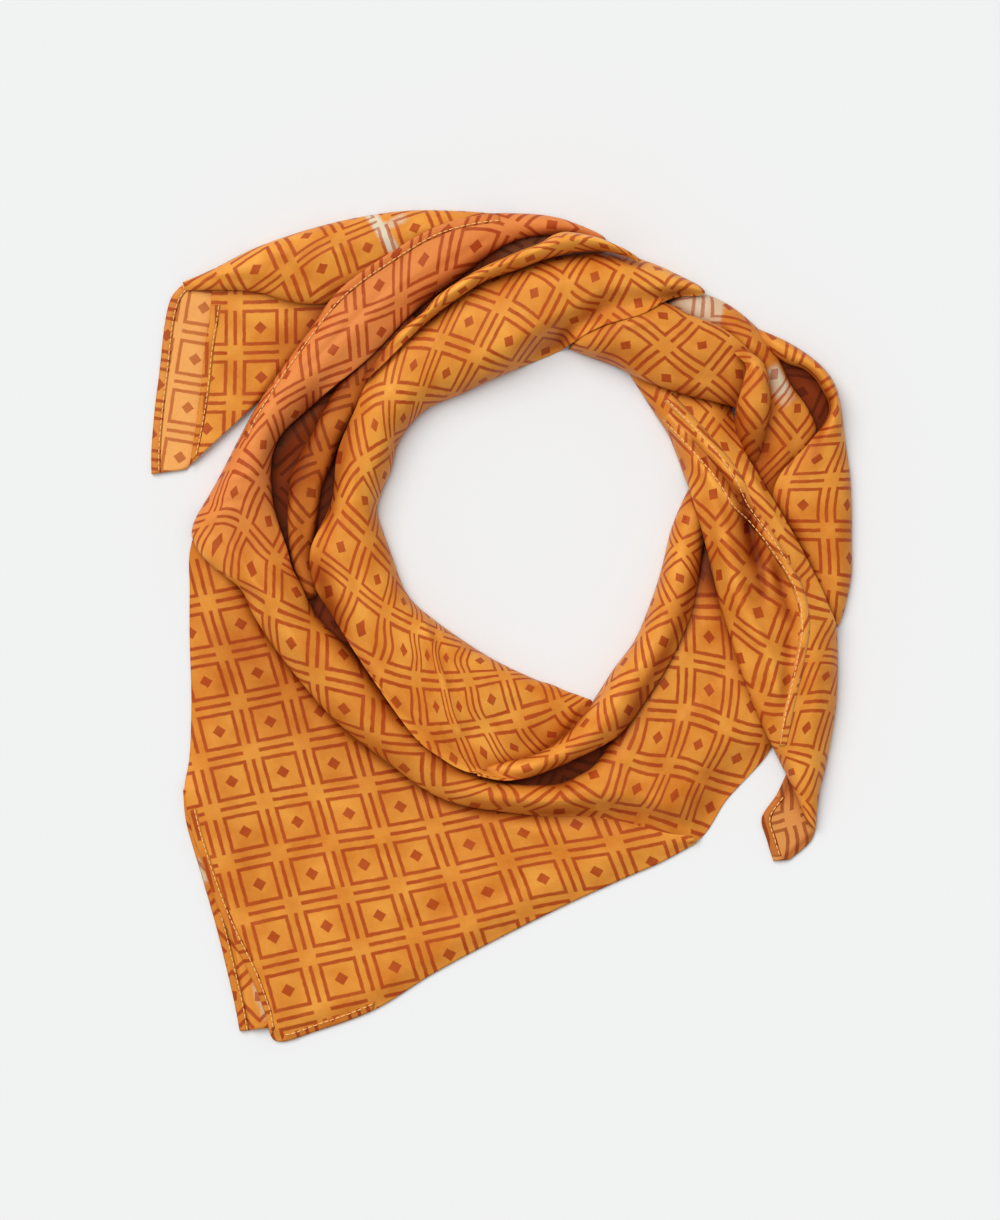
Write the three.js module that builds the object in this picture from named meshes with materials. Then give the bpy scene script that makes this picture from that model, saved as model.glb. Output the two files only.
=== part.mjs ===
import * as THREE from 'three';

// A silk square scarf, folded on its diagonal, wound once into a ring and laid flat on a table.
// Millimetres, +Z up. The table is z = 0 and the origin lies under the middle of the outline.
// Each stretch of the one cloth that shows is a closed slab with a flat or draped underside:
// its hidden layers are one rounded solid, and it lies on the stretches named before it.

// Driving sizes of the cloth.
const hemWidth = 6;
const hemThickness = 0.8;
const wall = 1.4;
const seamGap = 0.35;

// Fineness of the solids and of the height map that one stretch finds the next one down with.
const rowStep = 14;
const panelStep = 28;
const mapStep = 1;
const settlePasses = 5;
const mapHalfWidth = 270;
const mapHalfLength = 310;
const mapColumns = (2 * mapHalfWidth) / mapStep;
const mapRows = (2 * mapHalfLength) / mapStep;

// Colours of the print's ground, seen on the face and on the reverse, and of the sewn hem.
const silks = {
  face: { color: 0xd5892a, roughness: 0.55, metalness: 0 },
  tinted: { color: 0xd98552, roughness: 0.55, metalness: 0 },
  reverse: { color: 0xa86f45, roughness: 0.65, metalness: 0 },
  hem: { color: 0xdc9a3c, roughness: 0.6, metalness: 0 },
};

// Every table has a row for each section across a stretch, from its start to its end: where its
// two edges lie on the plan, and how high the cloth stands at the crown between them.
const columns = ['leftX', 'leftY', 'rightX', 'rightY', 'crown'];

const flapUnder = [
  [-191, 205, -162, 201, 1.4],
  [-198, 197, -164, 188, 1.4],
  [-202, 181, -166, 175, 1.4],
  [-205, 154, -170, 154, 1.4],
  [-208, 130, -174, 130, 1.4],
  [-210, 106, -177, 109, 1.4],
  [-210, 91, -189, 94, 1.4],
];

const flapPanel = [
  [-173, 204, -84, 205, 4],
  [-175, 185, -94, 185, 4],
  [-178, 166, -108, 169, 4],
  [-180, 145, -121, 157, 4],
  [-183, 121, -133, 145, 4],
  [-187, 96, -144, 136, 4],
];

const flapRoll = [
  [-191, 206, -189, 201, 4],
  [-173, 214, -171, 201, 10],
  [-147, 227, -148, 200, 14],
  [-115, 238, -119, 193, 15],
  [-86, 245, -90, 196, 14],
  [-57, 249, -60, 214, 12],
  [-28, 249, -30, 229, 10],
  [1, 247, 1, 236, 8],
];

const cornerUnder = [
  [-191, -98, -172, -101, 1.4],
  [-189, -118, -166, -116, 1.4],
  [-181, -146, -157, -142, 1.4],
  [-172, -177, -147, -170, 1.4],
  [-165, -205, -138, -197, 1.4],
  [-160, -227, -131, -221, 1.4],
  [-157, -243, -135, -240, 1.4],
];

const cornerMiddle = [
  [-162, -181, -144, -179, 2],
  [-159, -198, -134, -194, 2],
  [-156, -212, -127, -209, 2],
  [-153, -227, -123, -224, 2],
  [-150, -242, -127, -239, 2],
];

const cornerUpper = [
  [-181, 66, -160, 62, 6],
  [-187, 44, -154, 42, 6],
  [-187, 22, -150, 28, 6],
  [-187, -8, -136, 1, 6],
  [-186, -44, -118, -23, 6],
  [-187, -77, -100, -47, 6],
  [-190, -96, -91, -58, 6],
  [-189, -107, -86, -62, 6],
  [-183, -131, -81, -67, 6],
  [-168, -173, -74, -72, 5],
  [-150, -210, -66, -79, 5],
  [-141, -233, -62, -82, 5],
  [-135, -249, -59, -84, 5],
  [-111, -243, -53, -88, 5],
  [-76, -230, -42, -94, 5],
  [-42, -209, -27, -98, 5],
  [-7, -190, -10, -103, 6],
  [35, -169, 20, -105, 6],
  [72, -152, 53, -107, 6],
  [95, -142, 80, -112, 5],
  [117, -130, 113, -124, 4],
];

const foldLining = [
  [2, -98, -1, -85, 1.6],
  [23, -101, 17, -83, 1.6],
  [44, -98, 35, -73, 1.6],
  [62, -83, 50, -61, 1.6],
  [80, -59, 66, -44, 1.6],
];

const valleyLining = [
  [33, 239, 26, 223, 2],
  [11, 239, 17, 218, 2],
  [-13, 226, -6, 205, 2],
  [-34, 211, -19, 196, 2],
  [-50, 202, -28, 188, 2],
  [-70, 181, -58, 166, 2],
  [-91, 160, -73, 145, 2],
  [-118, 139, -82, 130, 2],
  [-140, 116, -88, 112, 2],
  [-144, 94, -91, 94, 2],
  [-142, 73, -94, 73, 2],
  [-138, 52, -103, 52, 2],
  [-130, 31, -101, 31, 2],
  [-121, 8, -98, 16, 2],
  [-106, -16, -86, -8, 2],
  [-92, -38, -72, -28, 2],
  [-74, -62, -54, -50, 2],
  [-56, -80, -42, -66, 2],
];

const valleyFold = [
  [-53, 187, -46, 180, 8],
  [-74, 168, -66, 161, 9],
  [-94, 143, -86, 138, 10],
  [-107, 121, -99, 117, 10],
  [-116, 102, -106, 98, 10],
  [-123, 88, -113, 84, 10],
  [-127, 74, -117, 72, 10],
  [-127, 58, -117, 57, 9],
  [-126, 42, -117, 43, 9],
  [-118, 16, -111, 20, 8],
];

const loopLining = [
  [172, 163, 161, 155, 1.6],
  [187, 154, 170, 145, 1.6],
  [196, 140, 179, 133, 1.6],
  [199, 125, 184, 118, 1.6],
];

const patchedStrip = [
  [113, 202, 83, 185, 9],
  [134, 194, 107, 178, 12],
  [153, 179, 126, 169, 14],
  [165, 162, 140, 152, 14],
  [173, 145, 142, 136, 14],
  [183, 131, 142, 119, 14],
  [189, 116, 143, 103, 12],
  [185, 101, 146, 88, 10],
  [176, 89, 152, 76, 8],
];

const rightLoop = [
  [152, 183, 157, 169, 6],
  [171, 172, 170, 159, 14],
  [187, 160, 182, 153, 15],
  [198, 148, 191, 143, 16],
  [203, 134, 196, 128, 16],
  [206, 112, 184, 110, 15],
  [209, 91, 166, 90, 15],
  [210, 70, 162, 73, 14],
  [210, 52, 170, 55, 14],
  [210, 32, 179, 37, 12],
  [206, 11, 186, 17, 10],
  [201, -4, 192, 2, 6],
];

const outerBand = [
  [62, 234, 63, 229, 6],
  [33, 245, 28, 234, 9],
  [0, 247, 2, 228, 12],
  [-35, 240, -26, 208, 15],
  [-64, 224, -52, 188, 16],
  [-97, 200, -79, 160, 18],
  [-121, 169, -112, 133, 18],
  [-147, 131, -135, 109, 18],
  [-170, 88, -137, 76, 18],
  [-186, 56, -128, 42, 16],
  [-172, 38, -121, 27, 18],
  [-156, 22, -114, 12, 20],
  [-147, 4, -107, 2, 20],
  [-126, -26, -84, -20, 21],
  [-100, -56, -57, -50, 21],
  [-69, -81, -34, -70, 21],
  [-34, -104, -7, -91, 20],
  [15, -113, 27, -95, 20],
  [48, -115, 45, -90, 18],
  [74, -119, 59, -79, 16],
  [114, -130, 80, -54, 14],
  [136, -103, 101, -22, 12],
  [160, -76, 119, 13, 10],
  [170, -50, 128, 34, 8],
  [178, -28, 128, 50, 4],
];

const innerRoll = [
  [-36, -79, -33, -82, 6],
  [-19, -79, -14, -89, 14],
  [0, -80, 6, -93, 18],
  [17, -78, 27, -89, 21],
  [30, -71, 46, -79, 22],
  [40, -63, 63, -70, 24],
  [52, -49, 74, -61, 24],
  [67, -26, 88, -41, 22],
  [80, -8, 100, -22, 21],
  [90, 16, 112, 4, 20],
  [96, 35, 117, 25, 18],
  [102, 59, 121, 49, 15],
  [111, 80, 127, 68, 12],
  [119, 94, 136, 82, 9],
];

const tailTip = [
  [171, -88, 182, -85, 1.6],
  [165, -101, 186, -101, 2],
  [156, -115, 189, -113, 2],
  [159, -128, 186, -128, 2],
  [163, -141, 173, -140, 1.6],
];

const tail = [
  [72, 158, 136, 138, 9],
  [92, 127, 144, 108, 16],
  [102, 110, 153, 91, 20],
  [115, 72, 173, 57, 22],
  [125, 35, 188, 29, 22],
  [130, 14, 195, 13, 22],
  [137, -8, 201, -5, 21],
  [150, -47, 201, -44, 20],
  [164, -76, 195, -82, 16],
  [171, -90, 191, -98, 14],
  [177, -103, 189, -112, 10],
  [183, -118, 188, -122, 8],
];

const crossingBand = [
  [42, 166, 47, 173, 9],
  [53, 161, 55, 179, 15],
  [69, 155, 72, 188, 21],
  [86, 146, 92, 192, 24],
  [109, 138, 114, 185, 26],
  [126, 134, 131, 178, 24],
  [140, 131, 145, 165, 21],
];

const crossingRoll = [
  [129, 178, 132, 181, 18],
  [142, 166, 146, 172, 22],
  [145, 155, 155, 158, 26],
  [144, 143, 161, 143, 27],
  [143, 131, 160, 129, 27],
  [141, 118, 156, 114, 24],
  [144, 104, 153, 103, 18],
];

const innerBand = [
  [122, 202, 121, 197, 12],
  [107, 210, 102, 196, 18],
  [89, 218, 83, 185, 24],
  [66, 224, 59, 178, 27],
  [43, 224, 35, 165, 27],
  [22, 221, 14, 156, 26],
  [0, 213, -5, 148, 24],
  [-21, 203, -24, 139, 22],
  [-42, 186, -43, 131, 22],
  [-61, 168, -54, 121, 22],
  [-78, 149, -62, 109, 22],
  [-88, 128, -66, 94, 21],
  [-98, 103, -72, 80, 21],
  [-102, 74, -74, 67, 21],
  [-114, 46, -66, 43, 21],
  [-112, 25, -57, 20, 21],
  [-102, 7, -42, 5, 21],
  [-81, -25, -10, -17, 20],
  [-54, -63, 18, -31, 18],
  [-38, -76, 30, -35, 16],
  [-19, -77, 39, -39, 14],
  [0, -78, 45, -41, 12],
  [16, -76, 50, -43, 10],
  [28, -70, 53, -44, 9],
  [38, -62, 54, -45, 8],
];

const strand = [
  [-62, 173, -59, 168, 22],
  [-46, 188, -43, 182, 27],
  [-37, 198, -30, 192, 28],
  [-15, 212, -10, 205, 30],
  [6, 222, 10, 212, 32],
  [21, 228, 26, 218, 33],
  [35, 235, 43, 222, 33],
  [53, 233, 59, 223, 32],
  [71, 228, 75, 221, 30],
  [87, 221, 86, 217, 27],
];

// The two hems that run down the tail's face are the edges of layers folded into it.
const tailHemFront = [
  [97, 134, 102, 139, 0],
  [126, 104, 130, 107, 0],
  [138, 86, 143, 89, 0],
  [160, 53, 165, 56, 0],
  [169, 38, 175, 41, 0],
];

const tailHemBack = [
  [95, 123, 100, 127, 0],
  [124, 90, 129, 93, 0],
  [136, 71, 141, 74, 0],
  [162, 39, 167, 42, 0],
  [172, 24, 178, 26, 0],
  [176, 6, 182, 7, 0],
  [176, -12, 182, -11, 0],
  [166, -56, 172, -54, 0],
  [165, -72, 170, -71, 0],
];

// The stretches, each over the ones before it. The shoulder is the distance in which a rolled
// edge rounds up to the crown, and the lip is the cloth's thickness at the edge itself.
// A stretch beside another one meets it edge to edge and doesn't lie on it.
const stretches = [
  { name: 'flap_under', table: flapUnder, shoulder: 3, lip: wall, silk: 'face' },
  { name: 'flap_panel', table: flapPanel, shoulder: 16, lip: wall, silk: 'face' },
  { name: 'flap_roll', table: flapRoll, shoulder: 12, lip: 2, silk: 'face' },
  { name: 'corner_under', table: cornerUnder, shoulder: 3, lip: wall, silk: 'face' },
  { name: 'corner_middle', table: cornerMiddle, shoulder: 3, lip: wall, silk: 'face' },
  { name: 'corner_upper', table: cornerUpper, shoulder: 18, lip: wall, silk: 'face' },
  { name: 'fold_lining', table: foldLining, shoulder: 3, lip: wall, silk: 'reverse' },
  { name: 'valley_lining', table: valleyLining, shoulder: 3, lip: wall, silk: 'reverse' },
  { name: 'valley_fold', table: valleyFold, shoulder: 4, lip: wall, silk: 'reverse' },
  { name: 'loop_lining', table: loopLining, shoulder: 3, lip: wall, silk: 'reverse' },
  { name: 'patched_strip', table: patchedStrip, shoulder: 13, lip: 2, silk: 'face' },
  { name: 'right_loop', table: rightLoop, shoulder: 14, lip: 2, silk: 'face' },
  { name: 'outer_band', table: outerBand, shoulder: 18, lip: 2, silk: 'tinted' },
  { name: 'inner_roll', table: innerRoll, shoulder: 12, lip: 2, silk: 'face' },
  { name: 'tail_tip', table: tailTip, shoulder: 3, lip: wall, silk: 'reverse' },
  { name: 'tail', table: tail, shoulder: 17, lip: 2, silk: 'face' },
  { name: 'crossing_band', table: crossingBand, shoulder: 16, lip: 2, silk: 'face' },
  { name: 'crossing_roll', table: crossingRoll, shoulder: 8, lip: 2, silk: 'face' },
  {
    name: 'inner_band',
    table: innerBand,
    shoulder: 20,
    lip: 2,
    silk: 'face',
    beside: ['inner_roll'],
  },
  { name: 'strand', table: strand, shoulder: 6, lip: 2, silk: 'face' },
  { name: 'tail_hem_front', table: tailHemFront, flat: true, silk: 'hem' },
  { name: 'tail_hem_back', table: tailHemBack, flat: true, silk: 'hem' },
];

// Sewn hems along the left edge of a stretch, between two of its sections counted from its start.
const edgeHems = [
  { name: 'flap_under_hem', of: 'flap_under', from: 0.3, to: 6 },
  { name: 'flap_panel_hem', of: 'flap_panel', from: 0.6, to: 4.9 },
  { name: 'outer_band_hem', of: 'outer_band', from: 2, to: 7.4 },
  { name: 'corner_under_hem', of: 'corner_under', from: 0.8, to: 6 },
  { name: 'corner_side_hem', of: 'corner_upper', from: 7.2, to: 11.7 },
  { name: 'corner_bottom_hem', of: 'corner_upper', from: 12.1, to: 14 },
  { name: 'tail_tip_hem', of: 'tail_tip', from: 1, to: 3.8 },
];

// A smooth curve through the values of one column, read at a section number that may be a part.
function along(values, at) {
  const last = values.length - 1;
  const index = Math.min(Math.floor(at), last - 1);
  const part = at - index;
  const before = values[Math.max(index - 1, 0)];
  const start = values[index];
  const end = values[index + 1];
  const after = values[Math.min(index + 2, last)];
  const startSlope = (end - before) / 2;
  const endSlope = (after - start) / 2;
  const squared = part * part;
  const cubed = squared * part;
  return (
    (2 * cubed - 3 * squared + 1) * start +
    (cubed - 2 * squared + part) * startSlope +
    (3 * squared - 2 * cubed) * end +
    (cubed - squared) * endSlope
  );
}

// The section of a table at a section number.
function sectionAt(table, at) {
  return Object.fromEntries(
    columns.map((column, index) => [
      column,
      along(table.map((row) => row[index]), at),
    ]),
  );
}

// Section numbers spread along a table so that neighbours lie about one row step apart.
function sectionNumbers(table, from, to) {
  const numbers = [from];
  let at = from;
  while (at < to - 1e-6) {
    const next = Math.min(Math.floor(at + 1e-6) + 1, to);
    const here = sectionAt(table, at);
    const there = sectionAt(table, next);
    const leftRun = Math.hypot(there.leftX - here.leftX, there.leftY - here.leftY);
    const rightRun = Math.hypot(there.rightX - here.rightX, there.rightY - here.rightY);
    const parts = Math.max(1, Math.round(Math.max(leftRun, rightRun) / rowStep));
    for (let part = 1; part <= parts; part += 1) {
      numbers.push(at + ((next - at) * part) / parts);
    }
    at = next;
  }
  return numbers;
}

// Height of a rounded section at a distance from its nearer edge.
function roundedHeight(distance, shoulder, lip, crown) {
  const short = Math.max(0, 1 - distance / shoulder);
  return lip + (crown - lip) * Math.sqrt(1 - short * short);
}

// Distances across a section at which its points stand: close together on the two shoulders.
function stations(width, shoulder, panels) {
  const rounded = Math.min(shoulder, width / 2.2);
  const near = [0, 0.3 * rounded, rounded];
  const middle = [];
  for (let panel = 1; panel < panels; panel += 1) {
    middle.push(rounded + ((width - 2 * rounded) * panel) / panels);
  }
  const far = near.map((distance) => width - distance).reverse();
  return { rounded, distances: [...near, ...middle, ...far] };
}

// The grid of a stretch: for each section, points across it with the top that its table asks for.
function stretchGrid(stretch) {
  const { table, shoulder, lip } = stretch;
  const numbers = sectionNumbers(table, 0, table.length - 1);
  const sections = numbers.map((number) => sectionAt(table, number));
  const widths = sections.map((s) => Math.hypot(s.rightX - s.leftX, s.rightY - s.leftY));
  const widest = Math.max(...widths);
  const panels = Math.max(1, Math.ceil((widest - 2 * Math.min(shoulder, widest / 2.2)) / panelStep));
  return sections.map((section, row) => {
    const width = widths[row];
    const { rounded, distances } = stations(width, shoulder, panels);
    return distances.map((distance) => {
      const share = distance / width;
      const edgeDistance = Math.min(distance, width - distance);
      return {
        x: section.leftX + share * (section.rightX - section.leftX),
        y: section.leftY + share * (section.rightY - section.leftY),
        top: roundedHeight(edgeDistance, rounded, lip, section.crown),
      };
    });
  });
}

// The grid of a flat strip: two points for each section, with no height of its own.
function stripGrid(sections) {
  return sections.map((section) => [
    { x: section.leftX, y: section.leftY, top: 0 },
    { x: section.rightX, y: section.rightY, top: 0 },
  ]);
}

// The sections of a hem that runs along its stretch's left edge and reaches in by its own width.
function hemSections(hem) {
  const { table } = stretches.find((stretch) => stretch.name === hem.of);
  return sectionNumbers(table, hem.from, hem.to).map((number) => {
    const section = sectionAt(table, number);
    const width = Math.hypot(section.rightX - section.leftX, section.rightY - section.leftY);
    const share = Math.min(hemWidth / width, 0.8);
    return {
      leftX: section.leftX,
      leftY: section.leftY,
      rightX: section.leftX + share * (section.rightX - section.leftX),
      rightY: section.leftY + share * (section.rightY - section.leftY),
    };
  });
}

// Height maps of the stretches laid so far, by name.
const laid = new Map();

const mapColumn = (x) => (x + mapHalfWidth) / mapStep;
const mapRow = (y) => (y + mapHalfLength) / mapStep;

// Visits each map cell that a triangle may touch, with the lowest and highest that it reaches
// there. The level is the top or the bottom of its three points.
function eachCell(corners, level, visit) {
  const [a, b, c] = corners;
  const levels = corners.map((corner) => corner[level]);
  const area = (b.x - a.x) * (c.y - a.y) - (c.x - a.x) * (b.y - a.y);
  if (Math.abs(area) < 1e-6) {
    return;
  }
  const riseB = levels[1] - levels[0];
  const riseC = levels[2] - levels[0];
  const slopeX = (riseB * (c.y - a.y) - riseC * (b.y - a.y)) / area;
  const slopeY = ((b.x - a.x) * riseC - (c.x - a.x) * riseB) / area;
  const margin = (mapStep / 2) * (Math.abs(slopeX) + Math.abs(slopeY));
  const firstColumn = Math.floor(mapColumn(Math.min(a.x, b.x, c.x)));
  const lastColumn = Math.floor(mapColumn(Math.max(a.x, b.x, c.x)));
  const firstRow = Math.floor(mapRow(Math.min(a.y, b.y, c.y)));
  const lastRow = Math.floor(mapRow(Math.max(a.y, b.y, c.y)));
  for (let row = firstRow; row <= lastRow; row += 1) {
    const y = (row + 0.5) * mapStep - mapHalfLength;
    for (let column = firstColumn; column <= lastColumn; column += 1) {
      const x = (column + 0.5) * mapStep - mapHalfWidth;
      const outside = corners.some((corner, index) => {
        const next = corners[(index + 1) % 3];
        const edgeX = next.x - corner.x;
        const edgeY = next.y - corner.y;
        const side = Math.sign(area) * (edgeX * (y - corner.y) - edgeY * (x - corner.x));
        return side < (-mapStep / 2) * (Math.abs(edgeX) + Math.abs(edgeY));
      });
      if (!outside) {
        const middle = levels[0] + slopeX * (x - a.x) + slopeY * (y - a.y);
        const low = Math.max(middle - margin, Math.min(...levels));
        const high = Math.min(middle + margin, Math.max(...levels));
        visit(row * mapColumns + column, low, high);
      }
    }
  }
}

// The two triangles of the grid's cell that ends at a row and column, as the slab cuts it.
function cellTriangles(grid, row, column) {
  const [a, b] = [grid[row - 1][column - 1], grid[row - 1][column]];
  const [d, c] = [grid[row][column - 1], grid[row][column]];
  return [
    [a, b, c],
    [a, c, d],
  ];
}

// The height map of a finished grid.
function heightMap(grid) {
  const map = new Float32Array(mapColumns * mapRows);
  for (let row = 1; row < grid.length; row += 1) {
    for (let column = 1; column < grid[row].length; column += 1) {
      cellTriangles(grid, row, column).forEach((triangle) => {
        eachCell(triangle, 'top', (cell, low, high) => {
          map[cell] = Math.max(map[cell], high);
        });
      });
    }
  }
  return map;
}

// The greatest height on a map within a reach of a point.
function highestNear(map, x, y, reach) {
  let highest = 0;
  const firstRow = Math.floor(mapRow(y - reach));
  const lastRow = Math.floor(mapRow(y + reach));
  const firstColumn = Math.floor(mapColumn(x - reach));
  const lastColumn = Math.floor(mapColumn(x + reach));
  for (let row = firstRow; row <= lastRow; row += 1) {
    for (let column = firstColumn; column <= lastColumn; column += 1) {
      const offX = Math.max(0, Math.abs((column + 0.5) * mapStep - mapHalfWidth - x) - mapStep / 2);
      const offY = Math.max(0, Math.abs((row + 0.5) * mapStep - mapHalfLength - y) - mapStep / 2);
      if (offX * offX + offY * offY <= reach * reach) {
        highest = Math.max(highest, map[row * mapColumns + column]);
      }
    }
  }
  return highest;
}

// The distance from a grid point to the farthest of its neighbours in the grid.
function neighbourReach(grid, row, column) {
  const point = grid[row][column];
  let reach = 0;
  for (let r = Math.max(0, row - 1); r <= Math.min(grid.length - 1, row + 1); r += 1) {
    const line = grid[r];
    for (let c = Math.max(0, column - 1); c <= Math.min(line.length - 1, column + 1); c += 1) {
      reach = Math.max(reach, Math.hypot(line[c].x - point.x, line[c].y - point.y));
    }
  }
  return reach;
}

// How far a grid point's underside can still sink before a cell round it meets what is below.
function roomBelow(grid, row, column, map) {
  let room = grid[row][column].bottom;
  for (let r = Math.max(1, row); r <= Math.min(grid.length - 1, row + 1); r += 1) {
    for (let c = Math.max(1, column); c <= Math.min(grid[r].length - 1, column + 1); c += 1) {
      cellTriangles(grid, r, c).forEach((triangle) => {
        eachCell(triangle, 'bottom', (cell, low) => {
          if (map[cell] > 0) {
            room = Math.min(room, low - map[cell] - seamGap);
          }
        });
      });
    }
  }
  return Math.max(0, room);
}

// Lays a grid on what is under it. Each point's underside is first lifted clear of everything
// within reach of its neighbours, and then sinks until its own cells just clear what is below.
// The top keeps the cloth's thickness above the underside.
function lay(name, grid, thickness, beside = []) {
  const map = new Float32Array(mapColumns * mapRows);
  [...laid]
    .filter(([other]) => !beside.includes(other))
    .forEach(([, lower]) => lower.forEach((level, cell) => {
      map[cell] = Math.max(map[cell], level);
    }));
  grid.forEach((line, row) => {
    line.forEach((point, column) => {
      const under = highestNear(map, point.x, point.y, neighbourReach(grid, row, column));
      point.bottom = under > 0 ? under + seamGap : 0;
    });
  });
  for (let pass = 0; pass < settlePasses; pass += 1) {
    grid.forEach((line, row) => {
      line.forEach((point, column) => {
        point.bottom -= roomBelow(grid, row, column, map);
      });
    });
  }
  grid.forEach((line) => {
    line.forEach((point) => {
      point.top = Math.max(point.top, point.bottom + thickness);
    });
  });
  laid.set(name, heightMap(grid));
  return grid;
}

// A closed slab from a laid grid: its top, its underside and a wall round its edge.
function slab(grid) {
  const rows = grid.length;
  const across = grid[0].length;
  const points = [];
  grid.forEach((line) => line.forEach((p) => points.push(p.x, p.y, p.top)));
  grid.forEach((line) => line.forEach((p) => points.push(p.x, p.y, p.bottom)));
  const top = (row, column) => row * across + column;
  const bottom = (row, column) => rows * across + top(row, column);
  const faces = [];
  const quad = (a, b, c, d) => faces.push(a, b, c, a, c, d);
  for (let row = 1; row < rows; row += 1) {
    for (let column = 1; column < across; column += 1) {
      quad(top(row - 1, column - 1), top(row - 1, column), top(row, column), top(row, column - 1));
      quad(
        bottom(row - 1, column - 1),
        bottom(row, column - 1),
        bottom(row, column),
        bottom(row - 1, column),
      );
    }
  }
  for (let row = 1; row < rows; row += 1) {
    const far = across - 1;
    quad(top(row - 1, 0), top(row, 0), bottom(row, 0), bottom(row - 1, 0));
    quad(top(row, far), top(row - 1, far), bottom(row - 1, far), bottom(row, far));
  }
  for (let column = 1; column < across; column += 1) {
    const end = rows - 1;
    quad(top(0, column), top(0, column - 1), bottom(0, column - 1), bottom(0, column));
    quad(top(end, column - 1), top(end, column), bottom(end, column), bottom(end, column - 1));
  }
  const geometry = new THREE.BufferGeometry();
  geometry.setAttribute('position', new THREE.Float32BufferAttribute(points, 3));
  geometry.setIndex(faces);
  geometry.computeVertexNormals();
  return geometry;
}

// Twice the area that a grid's outline sweeps, positive where it runs anticlockwise from above.
function sweptArea(grid) {
  const left = grid.map((line) => line[0]);
  const right = grid.map((line) => line[line.length - 1]).reverse();
  const outline = [...right.reverse(), ...left.reverse()];
  return outline.reduce((sum, point, index) => {
    const next = outline[(index + 1) % outline.length];
    return sum + point.x * next.y - next.x * point.y;
  }, 0);
}

// A grid whose faces look up, with its two edges exchanged where they have to be.
const facingUp = (grid) => (sweptArea(grid) > 0 ? grid : grid.map((line) => line.reverse()));

function clothMesh(name, grid, silk) {
  const mesh = new THREE.Mesh(slab(grid), new THREE.MeshStandardMaterial(silks[silk]));
  mesh.name = name;
  return mesh;
}

function stretchMesh(stretch) {
  if (stretch.flat) {
    const numbers = sectionNumbers(stretch.table, 0, stretch.table.length - 1);
    const sections = numbers.map((number) => sectionAt(stretch.table, number));
    const strip = lay(stretch.name, facingUp(stripGrid(sections)), hemThickness);
    return clothMesh(stretch.name, strip, stretch.silk);
  }
  const grid = lay(stretch.name, facingUp(stretchGrid(stretch)), wall, stretch.beside);
  return clothMesh(stretch.name, grid, stretch.silk);
}

// A hem lies on its own stretch only, under whatever crosses it later.
function hemMesh(hem) {
  const grid = lay(hem.name, facingUp(stripGrid(hemSections(hem))), hemThickness);
  return clothMesh(hem.name, grid, 'hem');
}

const scarf = new THREE.Group();
stretches.forEach((stretch) => {
  scarf.add(stretchMesh(stretch));
  edgeHems
    .filter((hem) => hem.of === stretch.name)
    .forEach((hem) => scarf.add(hemMesh(hem)));
});

export default scarf;
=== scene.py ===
"""A silk square scarf, folded on its diagonal and wound once into a ring, laid flat on a table.

Every stretch of the one cloth that shows is a thin shell over its solid: its sections are rounded
at the folds, its creases are listed one by one, and it lies on the stretches laid before it.
Sizes are millimetres in the row frame, and become metres where a mesh is made.
"""

import math
from collections import namedtuple

import bpy
import numpy as np
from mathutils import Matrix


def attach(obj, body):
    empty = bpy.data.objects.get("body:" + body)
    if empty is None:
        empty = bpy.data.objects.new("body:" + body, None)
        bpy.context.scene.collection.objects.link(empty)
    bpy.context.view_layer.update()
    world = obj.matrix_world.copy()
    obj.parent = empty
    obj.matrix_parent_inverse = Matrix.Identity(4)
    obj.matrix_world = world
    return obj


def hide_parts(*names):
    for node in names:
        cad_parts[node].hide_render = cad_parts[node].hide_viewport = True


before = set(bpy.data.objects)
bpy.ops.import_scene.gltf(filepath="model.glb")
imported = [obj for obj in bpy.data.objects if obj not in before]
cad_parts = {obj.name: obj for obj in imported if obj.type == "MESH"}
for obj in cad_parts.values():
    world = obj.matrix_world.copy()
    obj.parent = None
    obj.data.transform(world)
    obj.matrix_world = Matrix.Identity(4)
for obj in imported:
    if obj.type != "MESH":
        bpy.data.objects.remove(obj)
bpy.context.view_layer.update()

# Driving sizes, in millimetres.
MM = 0.001
SHELL = 0.5
HEM_WIDTH = 6.0
LAYER_GAP = 0.3
PITCH = 32.0
STEP = 2.0
LOW_REACH = 2.4
STITCH_LENGTH = 2.6
STITCH_STEP = 3.5
STITCH_RADIUS = 0.3
STITCH_TAPER = 0.3
STITCH_TIP = 0.55
HEM_SHELL = 0.3
HEM_SHIFT = 0.37
# The cloth's attributes: tone is painted shade and painted highlight, the others belong to the dye and the
# cloth's thinness.
TONE_NAMES = ("pink", "undyed", "thin", "tone")

# Height map of the cloth laid so far: one cell is a millimetre.
MAP_X = 270
MAP_Y = 310
# Reaches, in cells, of the mean heights around the cloth that set its painted shade.
SHADE_REACHES = (3, 9)

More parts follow.
